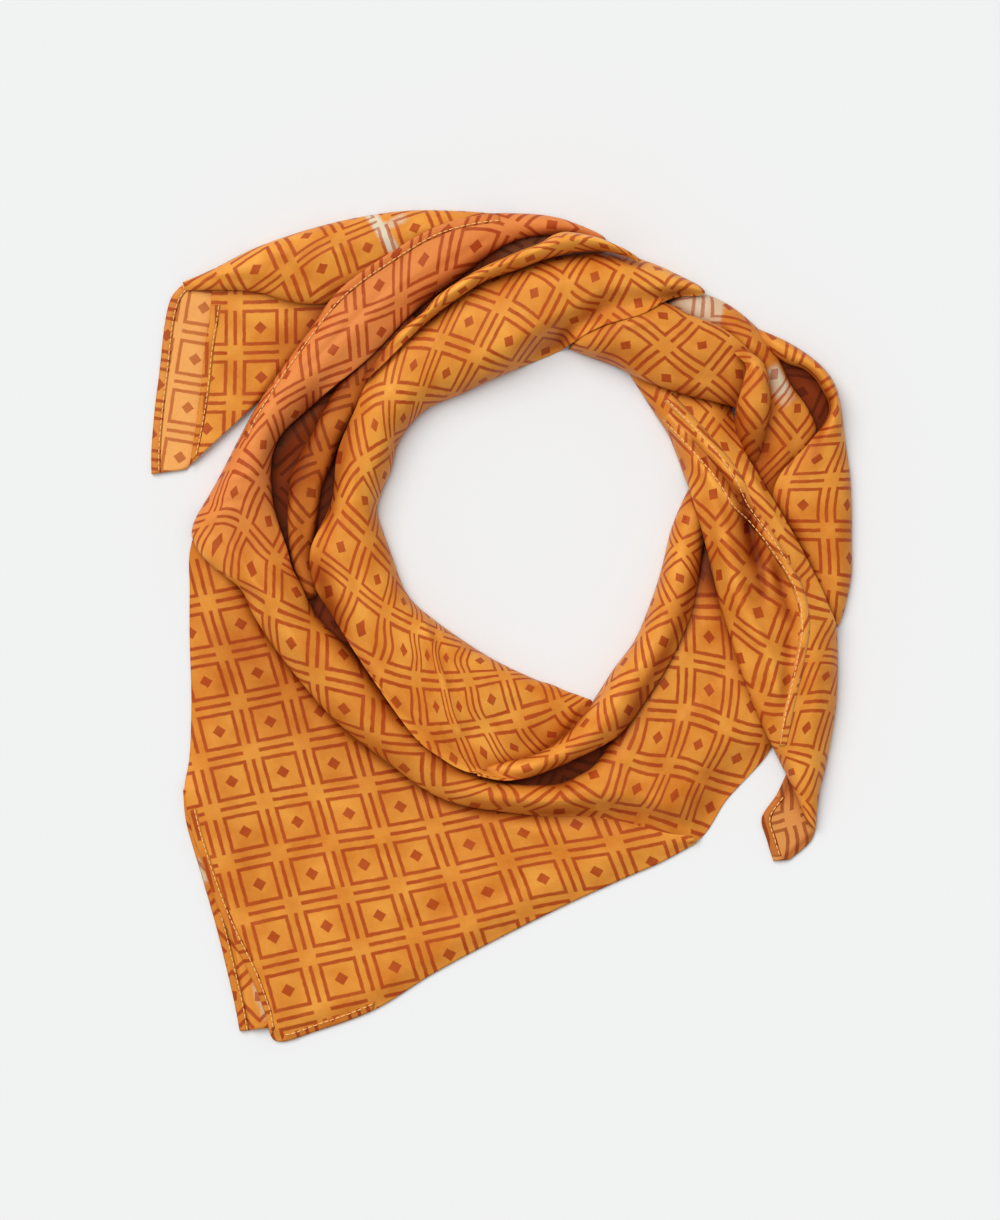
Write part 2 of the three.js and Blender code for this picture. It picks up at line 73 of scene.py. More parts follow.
# A section across each stretch, from its start to its end: left edge x and y, right edge x and y,
# and the height of the crown between them. The hems in the tail lie on its face and have no crown.
SECTIONS = {
    "flap_under": [
        (-191, 205, -162, 201, 1.4), (-198, 197, -164, 188, 1.4), (-202, 181, -166, 175, 1.4),
        (-205, 154, -170, 154, 1.4), (-208, 130, -174, 130, 1.4), (-210, 106, -177, 109, 1.4),
        (-210, 91, -189, 94, 1.4),
    ],
    "flap_panel": [
        (-173, 204, -84, 205, 4), (-175, 185, -94, 185, 4), (-178, 166, -108, 169, 4),
        (-180, 145, -121, 157, 4), (-183, 121, -133, 145, 4), (-187, 96, -144, 136, 4),
    ],
    "flap_roll": [
        (-191, 206, -189, 201, 4), (-173, 214, -171, 201, 10), (-147, 227, -148, 200, 14),
        (-115, 238, -119, 193, 15), (-86, 245, -90, 196, 14), (-57, 249, -60, 214, 12),
        (-28, 249, -30, 229, 10), (1, 247, 1, 236, 8),
    ],
    "corner_under": [
        (-191, -98, -172, -101, 1.4), (-189, -118, -166, -116, 1.4), (-181, -146, -157, -142, 1.4),
        (-172, -177, -147, -170, 1.4), (-165, -205, -138, -197, 1.4), (-160, -227, -131, -221, 1.4),
        (-157, -243, -135, -240, 1.4),
    ],
    "corner_middle": [
        (-162, -181, -144, -179, 2), (-159, -198, -134, -194, 2), (-156, -212, -127, -209, 2),
        (-153, -227, -123, -224, 2), (-150, -242, -127, -239, 2),
    ],
    "corner_upper": [
        (-181, 66, -160, 62, 6), (-187, 44, -154, 42, 6), (-187, 22, -150, 28, 6), (-187, -8, -136, 1, 6),
        (-186, -44, -118, -23, 6), (-187, -77, -100, -47, 6), (-190, -96, -91, -58, 6),
        (-189, -107, -86, -62, 6), (-183, -131, -81, -67, 6), (-168, -173, -74, -72, 5),
        (-150, -210, -66, -79, 5), (-141, -233, -62, -82, 5), (-135, -249, -59, -84, 5),
        (-111, -243, -53, -88, 5), (-76, -230, -42, -94, 5), (-42, -209, -27, -98, 5),
        (-7, -190, -10, -103, 6), (35, -169, 20, -105, 6), (72, -152, 53, -107, 6), (95, -142, 80, -112, 5),
        (117, -130, 113, -124, 4),
    ],
    "fold_lining": [
        (-22, -97, -22, -85, 1.6), (-8, -99, -9, -86, 1.6), (5, -99, 2, -85, 1.6), (23, -101, 17, -83, 1.6),
        (44, -98, 35, -73, 1.6), (62, -83, 50, -61, 1.6), (80, -59, 66, -44, 1.6),
    ],
    "valley_lining": [
        (33, 239, 26, 223, 2), (11, 239, 17, 218, 2), (-13, 226, -6, 205, 2), (-34, 211, -19, 196, 2),
        (-50, 202, -28, 188, 2), (-70, 181, -58, 166, 2), (-91, 160, -73, 145, 2), (-118, 139, -82, 130, 2),
        (-140, 116, -88, 112, 2), (-144, 94, -91, 94, 2), (-142, 73, -94, 73, 2), (-138, 52, -103, 52, 2),
        (-130, 31, -101, 31, 2), (-121, 8, -98, 16, 2), (-106, -16, -86, -8, 2), (-92, -38, -72, -28, 2),
        (-74, -62, -54, -50, 2), (-56, -80, -42, -66, 2),
    ],
    "valley_fold": [
        (-56, 190, -44, 178, 8), (-76, 170, -62, 158, 10), (-97, 146, -81, 136, 11),
        (-109, 124, -93, 116, 12), (-119, 105, -101, 97, 12), (-126, 90, -107, 84, 12),
        (-128, 75, -109, 73, 12), (-128, 58, -111, 57, 11), (-126, 40, -112, 43, 9),
        (-118, 14, -108, 19, 8),
    ],
    "loop_lining": [
        (164, 171, 150, 160, 1.6), (172, 163, 161, 153, 1.6), (187, 154, 170, 145, 1.6),
        (196, 140, 179, 133, 1.6), (199, 125, 184, 118, 1.6), (202, 110, 178, 102, 1.6),
    ],
    "patched_strip": [
        (113, 202, 83, 185, 9), (134, 194, 107, 178, 12), (153, 179, 126, 169, 14),
        (165, 162, 140, 152, 14), (173, 145, 142, 136, 14), (183, 131, 142, 119, 14),
        (189, 116, 143, 103, 12), (185, 101, 146, 88, 10), (176, 89, 150, 76, 8), (172, 76, 150, 62, 6),
    ],
    "right_loop": [
        (147, 181, 153, 168, 6), (170, 171, 169, 158, 12), (187, 160, 182, 153, 15),
        (198, 148, 191, 143, 16), (203, 134, 196, 128, 16), (206, 112, 184, 110, 15),
        (209, 91, 166, 90, 15), (210, 70, 162, 73, 14), (210, 52, 170, 55, 14), (210, 32, 179, 37, 12),
        (206, 11, 186, 17, 10), (201, -4, 192, 2, 6),
    ],
    "outer_band": [
        (62, 234, 63, 229, 6), (33, 245, 28, 234, 9), (0, 247, 2, 228, 12), (-35, 240, -26, 208, 15),
        (-64, 224, -52, 188, 16), (-97, 200, -79, 160, 18), (-121, 169, -112, 133, 18),
        (-147, 131, -135, 109, 18), (-170, 88, -137, 76, 18), (-185, 60, -128, 46, 16),
        (-182, 46, -125, 35, 17), (-171, 34, -120, 25, 18), (-156, 22, -114, 12, 20),
        (-147, 4, -107, 2, 20), (-126, -26, -84, -20, 21), (-100, -56, -57, -50, 21),
        (-69, -81, -34, -70, 21), (-34, -104, -7, -91, 20), (15, -113, 27, -95, 20),
        (48, -115, 45, -90, 18), (74, -119, 59, -79, 16), (114, -130, 74, -49, 14),
        (136, -103, 91, -18, 12), (160, -76, 102, 14, 10), (170, -50, 115, 36, 8), (176, -28, 121, 56, 5),
    ],
    "inner_roll": [
        (-16, -82, -14, -89, 8), (0, -80, 3, -92, 13), (15, -78, 22, -89, 18), (30, -71, 46, -79, 22),
        (40, -63, 63, -70, 24), (52, -49, 74, -61, 24), (67, -26, 88, -41, 22), (80, -8, 100, -22, 21),
        (90, 16, 112, 4, 20), (96, 35, 117, 25, 18), (102, 59, 121, 49, 15), (111, 80, 127, 68, 12),
        (119, 94, 136, 82, 9),
    ],
    "tail_tip": [
        (171, -88, 182, -85, 1.6), (165, -101, 186, -101, 2), (156, -115, 189, -113, 2),
        (159, -128, 186, -128, 2), (163, -141, 173, -140, 1.6),
    ],
    "tail": [
        (72, 158, 136, 138, 9), (92, 127, 144, 108, 16), (102, 110, 153, 91, 20), (115, 72, 173, 57, 22),
        (125, 35, 188, 29, 22), (130, 14, 195, 13, 22), (137, -8, 201, -5, 21), (150, -47, 201, -44, 20),
        (164, -76, 195, -82, 16), (171, -90, 191, -98, 14), (177, -103, 189, -112, 10),
        (183, -118, 188, -122, 8),
    ],
    "crossing_band": [
        (40, 166, 45, 175, 15), (53, 161, 55, 182, 20), (69, 155, 72, 192, 24), (86, 146, 92, 195, 25),
        (109, 138, 114, 185, 26), (126, 134, 131, 178, 24), (140, 130, 146, 166, 20),
        (150, 122, 156, 154, 10),
    ],
    "crossing_roll": [
        (137, 162, 141, 166, 18), (145, 155, 155, 158, 24), (143, 143, 161, 143, 27),
        (140, 131, 162, 130, 26), (139, 118, 160, 115, 21), (142, 106, 157, 103, 15), (147, 96, 154, 94, 9),
    ],
    "inner_band": [
        (122, 202, 121, 197, 12), (107, 210, 102, 196, 18), (89, 218, 83, 185, 24), (66, 224, 59, 178, 27),
        (43, 224, 35, 165, 27), (22, 221, 14, 156, 26), (0, 213, -5, 148, 24), (-21, 203, -24, 139, 22),
        (-42, 186, -43, 131, 22), (-61, 168, -54, 121, 22), (-78, 149, -62, 109, 22),
        (-88, 128, -66, 94, 21), (-98, 103, -72, 80, 21), (-102, 74, -74, 67, 21), (-114, 46, -66, 43, 21),
        (-112, 25, -57, 20, 21), (-102, 7, -42, 5, 21), (-81, -25, -10, -17, 20), (-54, -63, 18, -31, 18),
        (-38, -77, 30, -35, 15), (-19, -87, 39, -39, 14), (2, -86, 45, -41, 11), (18, -83, 50, -43, 8),
        (32, -76, 53, -44, 5), (44, -67, 57, -47, 5),
    ],
    "strand": [
        (-84, 147, -82, 145, 6), (-73, 160, -70, 156, 14), (-62, 174, -58, 168, 22),
        (-46, 188, -43, 182, 27), (-37, 198, -30, 192, 28), (-15, 212, -10, 205, 30), (6, 222, 10, 212, 32),
        (21, 228, 26, 218, 33), (35, 235, 43, 222, 33), (53, 233, 59, 223, 32), (69, 227, 73, 220, 29),
        (83, 219, 83, 215, 26),
    ],
    "tail_hem_front": [
        (97, 134, 102, 139, 0), (126, 104, 130, 107, 0), (138, 86, 143, 89, 0), (146, 71, 149, 74, 0),
        (159, 53, 161, 56, 0), (170, 36, 172, 38, 0),
    ],
    "tail_hem_back": [
        (95, 123, 100, 127, 0), (124, 90, 129, 93, 0), (136, 71, 141, 75, 0), (147, 61, 151, 65, 0),
        (162, 41, 166, 44, 0), (172, 24, 178, 26, 0), (177, 6, 183, 7, 0), (176, -12, 182, -11, 0),
        (167, -56, 173, -54, 0), (165, -72, 170, -71, 0),
    ],
}

# Where a mark in the middle of one of the print's squares lies on a stretch: x, y, and the
# column and row of that square in the printed lattice, counted within the stretch.
MARKS = {
    "flap_panel": [
        (-144, 179, 0, 0), (-144, 149, 0, 1), (-113, 181, 1, 0), (-174, 179, -1, 0), (-176, 149, -1, 1),
        (-176, 118, -1, 2),
    ],
    "flap_under": [
        (-178, 190, 0, 0), (-183, 160, 0, 1), (-188, 130, 0, 2),
    ],
    "flap_roll": [
        (-147, 212, 0, 0), (-107, 214, 1, 1), (-80, 226, 2, 1), (-52, 238, 3, 1),
    ],
    "corner_upper": [
        (-153, -123, 0, 0), (-91, -112, 2, 0), (-100, -82, 2, -1), (-109, -51, 2, -2), (-146, -28, 1, -3),
        (-156, 1, 1, -4), (-177, -33, 0, -3), (-60, -108, 3, 0), (-19, -131, 4, 1), (45, -119, 6, 1),
        (25, -151, 5, 2), (90, -141, 7, 2),
    ],
    "outer_band": [
        (-16, 227, -3, -6), (-46, 218, -3, -5), (-73, 202, -3, -4), (-72, 176, -2, -4), (-100, 164, -2, -3),
        (-129, 150, -2, -2), (-123, 127, -1, -2), (-142, 108, -1, -1), (-160, 81, -1, 0), (-177, 73, -2, 0),
        (-139, 62, 0, 0), (-167, 54, -1, 1), (-149, 32, 0, 1), (-122, 20, 1, 1), (-125, -11, 1, 2),
        (-95, -17, 2, 2), (-94, -50, 2, 3), (-58, -85, 3, 4), (-16, -107, 4, 5), (13, -94, 5, 5),
        (35, -111, 5, 6), (55, -89, 6, 6), (81, -97, 6, 7), (103, -100, 6, 8), (124, -108, 6, 9),
        (94, -66, 7, 7), (118, -71, 7, 8), (141, -79, 7, 9), (97, -35, 8, 7), (125, -38, 8, 8),
        (149, -48, 8, 9), (125, -7, 9, 8),
    ],
    "inner_band": [
        (-81, 75, 0, 0), (-96, 47, 0, 1), (-73, 27, 1, 1), (-85, -3, 1, 2), (-57, -14, 2, 2),
        (-44, -18, 3, 2), (-34, -19, 4, 2), (-102, 22, 0, 2), (-63, -45, 2, 3), (-37, -47, 3, 3),
        (-27, -49, 4, 3), (-6, -44, 5, 3), (17, -36, 6, 3), (-27, -79, 3, 4), (-10, -75, 4, 4),
        (7, -73, 5, 4), (30, -65, 6, 4), (-97, 100, -1, 0), (-75, 120, -1, -1), (-52, 155, -2, -2),
        (-19, 181, -3, -3), (5, 169, -3, -4), (19, 198, -4, -4), (55, 208, -5, -5), (43, 181, -4, -5),
        (82, 192, -5, -6), (93, 213, -6, -6),
    ],
    "inner_roll": [
        (15, -85, -1, 1), (50, -58, 0, 0), (76, -50, 1, 0), (97, -10, 2, -1), (106, 29, 3, -2),
        (110, 64, 4, -3),
    ],
    "tail": [
        (112, 128, -1, -1), (133, 108, 0, -1), (109, 96, -1, 0), (126, 78, 0, 0), (129, 31, 1, 1),
        (152, 8, 2, 1), (178, -5, 3, 1), (142, -18, 2, 2), (170, -33, 3, 2), (162, -62, 3, 3),
        (193, -28, 4, 2), (181, -59, 4, 3), (173, -87, 4, 4),
    ],
    "tail_tip": [
        (174, -115, 0.5, 0.5), (182, -113, 0.75, 0.5), (176, -123, 0.5, 0.75), (166, -117, 0.25, 0.5),
    ],
    "right_loop": [
        (179, 72, 0, 0), (207, 72, 1, 0), (188, 99, 0, -1), (208, 41, 1, 1), (181, 42, 0, 1),
    ],
    "patched_strip": [
        (104, 189, 0, 0), (135, 191, 1, 0), (163, 150, 2, 1), (176, 129, 3, 1), (158, 107, 3, 2),
    ],
    "crossing_band": [
        (73, 167, 0, 0), (97, 147, 1, 0), (97, 184, 0, -1), (120, 166, 1, -1), (142, 150, 2, -1),
    ],
}

# Soft creases of a stretch: from x, y to x, y, then the width, and the height of a ridge or the
# depth of a trough.
CREASES = {
    "outer_band": [
        (-60, -60, 0, -98, 14, 1.2), (-110, -8, -70, -60, 16, 0.8), (-150, 70, -146, 20, 18, -0.8),
        (-164, 52, -120, -16, 10, 1.4), (-176, 62, -140, 8, 6, -1.0), (-184, 70, -152, 76, 5, -1.0),
        (-178, 84, -146, 92, 5, 0.8), (-130, 30, -104, -24, 8, -0.9), (40, -94, 116, -112, 12, 1.6),
        (60, -84, 132, -92, 10, -1.2), (44, -108, 104, -122, 5, 0.9), (60, -112, 112, -118, 4, -0.8),
        (96, -60, 140, -66, 16, -0.8), (84, -50, 128, 10, 12, 1.0), (96, -58, 140, -20, 10, -0.9),
        (-90, 176, -40, 216, 14, 0.8), (-120, 150, -64, 206, 6, -0.9), (-60, 200, -6, 232, 5, -0.9),
    ],
    "inner_band": [
        (-47, 4, -37, -28, 4, 1.9), (-37, -28, -25, -66, 4, 1.9), (-41, 0, -31, -30, 3.4, -1.2),
        (-31, -30, -18, -68, 3.4, -1.2), (-28, 14, -40, 6, 7, -1.0), (-58, 120, -76, 96, 8, 1.2),
        (-76, 96, -78, 62, 8, 1.2), (-92, 96, -96, 60, 6, -1.2), (-100, 66, -108, 30, 5, 1.0),
        (-70, 60, -76, 24, 7, -0.9), (30, 168, 88, 189, 4.5, -1.1), (24, 174, 80, 196, 4.5, 0.9),
        (34, 162, 96, 183, 4, 0.7), (-10, 160, 20, 176, 14, 0.9), (-40, 176, 10, 208, 10, -0.9),
        (20, 204, 84, 204, 12, 0.8), (-90, 60, -84, 20, 14, -0.8), (-70, -10, -40, -50, 9, 1.0),
        (-8, -34, 16, -66, 8, -0.8),
    ],
    "corner_upper": [
        (-150, -36, -90, -88, 16, -0.8), (-176, 10, -150, -60, 12, -0.9), (-150, -150, -60, -160, 22, 0.7),
        (-40, -110, 40, -128, 12, 0.9), (-176, -60, -150, -150, 18, 0.7),
        (-120, -100, -110, -220, 20, -0.6), (-160, -120, -128, -190, 8, -0.6),
        (-60, -180, 20, -150, 12, -0.6), (-100, -130, -30, -126, 14, 0.6), (10, -112, 90, -124, 8, -0.8),
    ],
    "tail": [
        (112, 110, 143, 74, 5, -3.0), (142, 78, 148, 60, 8, -4.0), (146, 66, 153, 34, 11, -6.0),
        (153, 34, 155, 16, 8, -3.0), (160, 44, 168, 24, 7, -3.0), (164, 32, 173, -16, 10, -3.5),
        (172, -12, 168, -50, 8, -1.4), (122, 92, 129, 60, 12, 3.0), (129, 60, 141, 14, 15, 6.5),
        (141, 14, 158, -16, 13, 5.5), (158, -16, 165, -44, 10, 3.5), (146, 96, 180, 40, 10, 4.0),
        (158, 56, 178, 20, 6, 2.6), (178, 20, 179, -14, 6, 2.0), (146, 24, 166, 14, 3.4, -1.4),
        (146, 22, 163, 3, 3.4, -1.2), (152, 34, 168, 24, 3.4, 1.0), (118, 92, 126, 40, 6, -1.2),
        (100, 136, 142, 84, 5, 2.0), (96, 124, 138, 70, 5, 1.6), (184, 20, 188, -60, 8, 0.9),
    ],
    "right_loop": [
        (196, 130, 186, 90, 8, 0.8), (188, 100, 196, 30, 14, -0.9), (172, 80, 184, 50, 6, 0.8),
        (198, 60, 204, 6, 8, 0.7),
    ],
    "patched_strip": [
        (130, 180, 166, 140, 7, -1.4), (116, 178, 150, 158, 6, -1.2), (172, 140, 168, 96, 8, 1.0),
        (158, 132, 152, 96, 5, -1.0),
    ],
    "crossing_band": [
        (60, 164, 130, 150, 12, -1.2), (84, 182, 126, 160, 10, 1.2), (96, 150, 136, 146, 6, -1.0),
        (112, 172, 140, 158, 6, -1.2), (70, 178, 104, 186, 5, 0.8),
    ],
    "flap_roll": [
        (-180, 207, -120, 204, 6, -1.2), (-146, 226, -104, 200, 8, -1.4), (-110, 220, -40, 240, 10, 1.0),
        (-80, 238, -30, 243, 5, -0.9),
    ],
    "flap_panel": [
        (-150, 200, -140, 150, 16, 0.7), (-166, 196, -112, 190, 9, -0.8), (-124, 190, -104, 170, 10, -0.9),
    ],
    "valley_lining": [
        (-134, 100, -60, 190, 8, 0.8),
    ],
}

# Painted shade in deep folds, where little light comes in: from x, y to x, y, the width, and the share
# of light taken off the colour.
PAINTED_SHADES = {
    "tail_tip": [(187, -124, 168, -141, 4, 0.4), (172, -88, 168, -104, 7, 0.5)],
    "tail": [
        (116, 66, 124, 28, 6, 0.3), (124, 28, 136, -14, 6, 0.35), (136, -14, 158, -68, 6, 0.3),
        (112, 112, 143, 76, 5, 0.45), (143, 76, 149, 56, 8, 0.6), (145, 66, 153, 34, 10, 0.65),
        (153, 36, 156, 14, 7, 0.4), (142, 66, 162, 28, 24, 0.25), (162, 38, 172, 2, 6, 0.5),
        (170, -4, 168, -40, 6, 0.2),
    ],
    "strand": [(-70, 164, -92, 138, 16, 0.7)],
    "valley_lining": [
        (-116, 140, -140, 90, 12, 0.5), (-140, 90, -122, 20, 14, 0.5), (-88, 128, -100, 60, 14, 0.5),
    ],
    "valley_fold": [
        (-76, 172, -110, 124, 9, 0.5), (-110, 124, -130, 70, 9, 0.55), (-96, 116, -110, 50, 9, 0.55),
        (-118, 46, -100, 22, 9, 0.4),
    ],
    "crossing_roll": [(150, 114, 151, 92, 20, 0.65), (141, 134, 144, 104, 8, 0.3)],
    "patched_strip": [(160, 136, 154, 92, 12, 0.4), (160, 84, 176, 100, 10, 0.3)],
    "right_loop": [(197, 142, 186, 96, 7, 0.3), (162, 74, 184, 50, 8, 0.15)],
    "outer_band": [
        (-112, 140, -130, 80, 12, 0.4), (-130, 80, -120, 24, 10, 0.45), (-114, 20, -82, -25, 13, 0.6),
        (-82, -25, -54, -63, 11, 0.55), (-54, -63, -30, -85, 9, 0.5), (-30, -85, 44, -95, 8, 0.45),
        (116, 76, 129, 18, 15, 0.75), (60, -80, 88, -34, 9, 0.3), (88, -34, 108, 40, 12, 0.5),
        (102, 8, 116, 48, 16, 0.6),
    ],
    "inner_band": [
        (-90, 130, -104, 62, 10, 0.45), (-113, 42, -98, 0, 14, 0.55), (-98, 0, -76, -33, 8, 0.35),
        (2, -62, 36, -72, 14, 0.15),
    ],
    "inner_roll": [(70, -66, 108, 4, 8, 0.45), (108, 4, 122, 50, 9, 0.5)],
    "corner_upper": [
        (-176, 40, -140, -70, 60, 0.16), (-150, -10, -110, -60, 34, 0.14), (-120, -60, -30, -116, 34, 0.14),
        (-30, -108, 90, -118, 14, 0.16), (-176, -80, -150, -150, 26, 0.08),
    ],
    "flap_roll": [(-108, 196, -60, 216, 12, 0.3)],
    "flap_panel": [(-140, 160, -104, 196, 16, 0.22)],
    "crossing_band": [(139, 132, 144, 164, 9, 0.3), (100, 140, 138, 132, 7, 0.3)],
}

# Undyed patches: the stretch, their middle, half length, half width, direction in degrees, and how
# strong they are.
PATCHES = [
    ("flap_roll", -71, 235, 16, 3.4, -58, 1.0),
    ("flap_roll", -66, 240, 10, 2.6, 30, 0.6),
    ("patched_strip", 106, 190, 19, 13, -14, 1.0),
    ("patched_strip", 128, 192, 5, 12, -14, 0.75),
    ("patched_strip", 165, 146, 9, 5, -62, 1.0),
    ("patched_strip", 168, 138, 6, 5, -50, 0.5),
    ("corner_under", -178, -146, 7, 4, -70, 0.9),
    ("valley_lining", 14, 231, 16, 7, 12, 0.8),
    ("corner_middle", -143, -224, 11, 3.4, -72, 0.55),
]

# The outer band's pink dye is full above the first height on the plan and gone below the second.
PINK_FROM = 96.0
PINK_TO = 18.0

# Stretches from the bottom of the heap to the top: the distance in which an edge rounds up to the
# crown, the side of the cloth that shows, whether it is laid out or folded, and how light it is drawn:
# a painted shade over the whole stretch below 1, deepest on the linings in folds, and painted light
# above 1. A folded stretch has a thicker edge, which turns under.
Stretch = namedtuple("Stretch", "shoulder face held tone")
STRETCHES = {
    "flap_under": Stretch(3, "front", "laid", 1.0),
    "flap_panel": Stretch(16, "front", "laid", 1.04),
    "flap_roll": Stretch(12, "front", "folded", 1.03),
    "corner_under": Stretch(3, "front", "laid", 1.0),
    "corner_middle": Stretch(3, "front", "laid", 1.0),
    "corner_upper": Stretch(18, "front", "laid", 1.0),
    "fold_lining": Stretch(3, "back", "laid", 0.38),
    "valley_lining": Stretch(3, "back", "laid", 0.42),
    "valley_fold": Stretch(4, "back", "folded", 0.9),
    "loop_lining": Stretch(3, "back", "laid", 0.37),
    "patched_strip": Stretch(13, "front", "folded", 0.94),
    "right_loop": Stretch(14, "front", "folded", 0.95),
    "outer_band": Stretch(18, "front", "folded", 0.96),
    "inner_roll": Stretch(12, "front", "folded", 0.96),
    "tail_tip": Stretch(3, "back", "laid", 1.0),
    "tail": Stretch(17, "front", "folded", 1.0),
    "crossing_band": Stretch(16, "front", "folded", 0.9),
    "crossing_roll": Stretch(8, "front", "folded", 0.94),
    "inner_band": Stretch(20, "front", "folded", 1.03),
    "strand": Stretch(6, "front", "folded", 1.0),
}

# Where a stretch passes beside or under an earlier one instead of over it: from and to a section.
BESIDE = [
    ("inner_band", "inner_roll", 0, 99),
    ("right_loop", "patched_strip", 0, 1.6),
    ("crossing_roll", "tail", 2.2, 99),
    ("crossing_roll", "patched_strip", 2.6, 99),
]

# Where an edge is no fold but flattens out: from and to a section, and its shoulder there.
SOFT_EDGES = {"outer_band": ("left", 17.0, 23.6, 32), "inner_band": ("right", -0.6, 5.7, 24)}
SOFT_EDGE_RUN = 1.5
SOFT_EDGE_TUCK_LOSS = 0.85

# Stretches whose ends show and close like a fingertip, and in what distance they do.
ROUND_ENDS = {"strand", "inner_band", "crossing_roll", "right_loop", "outer_band", "valley_fold"}
END_REACH = 7.0
END_WIDTH = 0.3
END_HEIGHT = 0.25

# The form of a section: the cloth's height at its edge, how far in it is loose enough for creases,
# the share of its height that it loses from its middle to its edges, and how its crown clears what
# lies below. Then the points of an edge and, in degrees, the part that turns under.
LIPS = {"laid": 1.2, "folded": 1.4}
LOOSE_FROM = 9
SIDE_FALL = 0.16
OVER_BASE = 0.4
CROWN_BLEND = 1.2
LAID_EDGE_POWER = 1.4
EDGE_DENSITY = 1.5
WIDTH_TO_SHOULDER = 2.2
WIDTH_TO_TUCK = 5
FLOOR_PLAY = 0.1
LEAST_DROP = 0.15
TUCK_FROM = -75
TUCK_TO = -18
TUCK_POINTS = 4
FINE_SAMPLES = 400

# Waves of loose silk: their lengths, and how many times longer than high they are.
SLACK_WAVES = (27, 38, 55, 80)
SLACK_RATIO = 300

# Bridging over what lies below, in cells, and the cells that count as lying on it.
BRIDGE_REACH = 3
LEAST_OVERLAP = 150

# Some stretches take the print as it lies on the plan. Others follow their marks, with a soft
# radius and some slackness, and a stretch without marks has it turned and moved as a whole.
FLAT_PRINT = {"flap_under", "flap_panel", "corner_under", "corner_middle", "corner_upper"}
MARK_ROUND_OFF = 14.0
MARK_SLACKNESS = 1.5
PLAIN_TURN = 45
PLAIN_OFFSET = (0.3, 0.1)

# How thin single layers over the pale table are, and the edges of undyed patches.
THINNESS = {"flap_under": 0.6, "tail_tip": 0.4}
PATCH_EDGE = 1.25
PATCH_FADE = 0.5

# Painted shade where the cloth lies below the cloth close by and farther off, and painted highlight
# where it lies above: the share, and the height in which it is reached.
CLOSE_PAINTED_SHADE = (0.16, 3)
WIDE_PAINTED_SHADE = (0.32, 9)
CREST_PAINTED_HIGHLIGHT = (0.14, 1.4)

# Sewn hems: the stretch, and from where to where along its left edge in sections.
EDGE_HEMS = {
    "flap_under_hem": ("flap_under", 0.3, 6),
    "flap_panel_hem": ("flap_panel", 0.6, 4.9),
    "outer_band_hem": ("outer_band", 2, 7.4),
    "corner_under_hem": ("corner_under", 0.8, 6),
    "corner_side_hem": ("corner_upper", 7.2, 11.7),
    "corner_bottom_hem": ("corner_upper", 12.1, 14),
    "tail_tip_hem": ("tail_tip", 1, 3.8),
}
TAIL_HEMS = ("tail_hem_front", "tail_hem_back")

# A hem's section from its outer to its inner side: height over the cloth and how pale it is. Its
# seam lies inside its inner edge, or along its outer one in the tail.
EDGE_HEM_FROM = 0.2
EDGE_HEM_RISE = (0.3, 0.5, 0.5, 0.42, 0.06)
EDGE_HEM_TONE = 0.88
EDGE_HEM_THINNESS = 0.3
EDGE_SEAM_INSET = 1.2
EDGE_SEAM_RISE = 0.7
TAIL_HEM_RISE = (0.1, 0.75, 0.95, 0.8, 0.15)
TAIL_HEM_PALENESS = (0.5, 0.1, 0.0, 0.1, 0.6)
TAIL_HEM_TONE = 1.02
TAIL_HEM_REACH = 1.6
TAIL_SEAM_RISE = 0.2


def catmull_rom(rows, numbers):
    """Rows of a table read at section numbers that may be parts."""
    rows = np.array(rows, float)
    last = len(rows) - 1
    index = np.minimum(np.floor(numbers).astype(int), last - 1)
    part = (numbers - index)[:, None]
    before = rows[np.maximum(index - 1, 0)]
    start = rows[index]
    end = rows[index + 1]
    after = rows[np.minimum(index + 2, last)]
    squared = part**2
    cubed = part**3
    return (
        (2 * cubed - 3 * squared + 1) * start
        + (cubed - 2 * squared + part) * (end - before) / 2
        + (3 * squared - 2 * cubed) * end
        + (cubed - squared) * (after - start) / 2
    )


def running(steps):
    """The length run at each point of a line, from the steps between its points."""
    return np.concatenate([[0], np.cumsum(steps)])


def plan_steps(line):
    return np.hypot(*np.diff(line[:, 0:2], axis=0).T)


def read_sections(name):
    """A stretch's section numbers, about a step apart on its longer edge, and their sections."""
    rows = SECTIONS[name]
    fine = np.linspace(0, len(rows) - 1, FINE_SAMPLES)
    sections = catmull_rom(rows, fine)
    run = running(np.maximum(plan_steps(sections), plan_steps(sections[:, 2:4])))
    count = max(4, int(round(run[-1] / STEP)))
    numbers = np.interp(np.linspace(0, run[-1], count + 1), run, fine)
    return numbers, catmull_rom(rows, numbers)


def smooth(value):
    value = np.clip(value, 0, 1)
    return value * value * (3 - 2 * value)


def soft_max(a, b, blend):
    return 0.5 * (a + b + np.sqrt((a - b) ** 2 + blend**2))


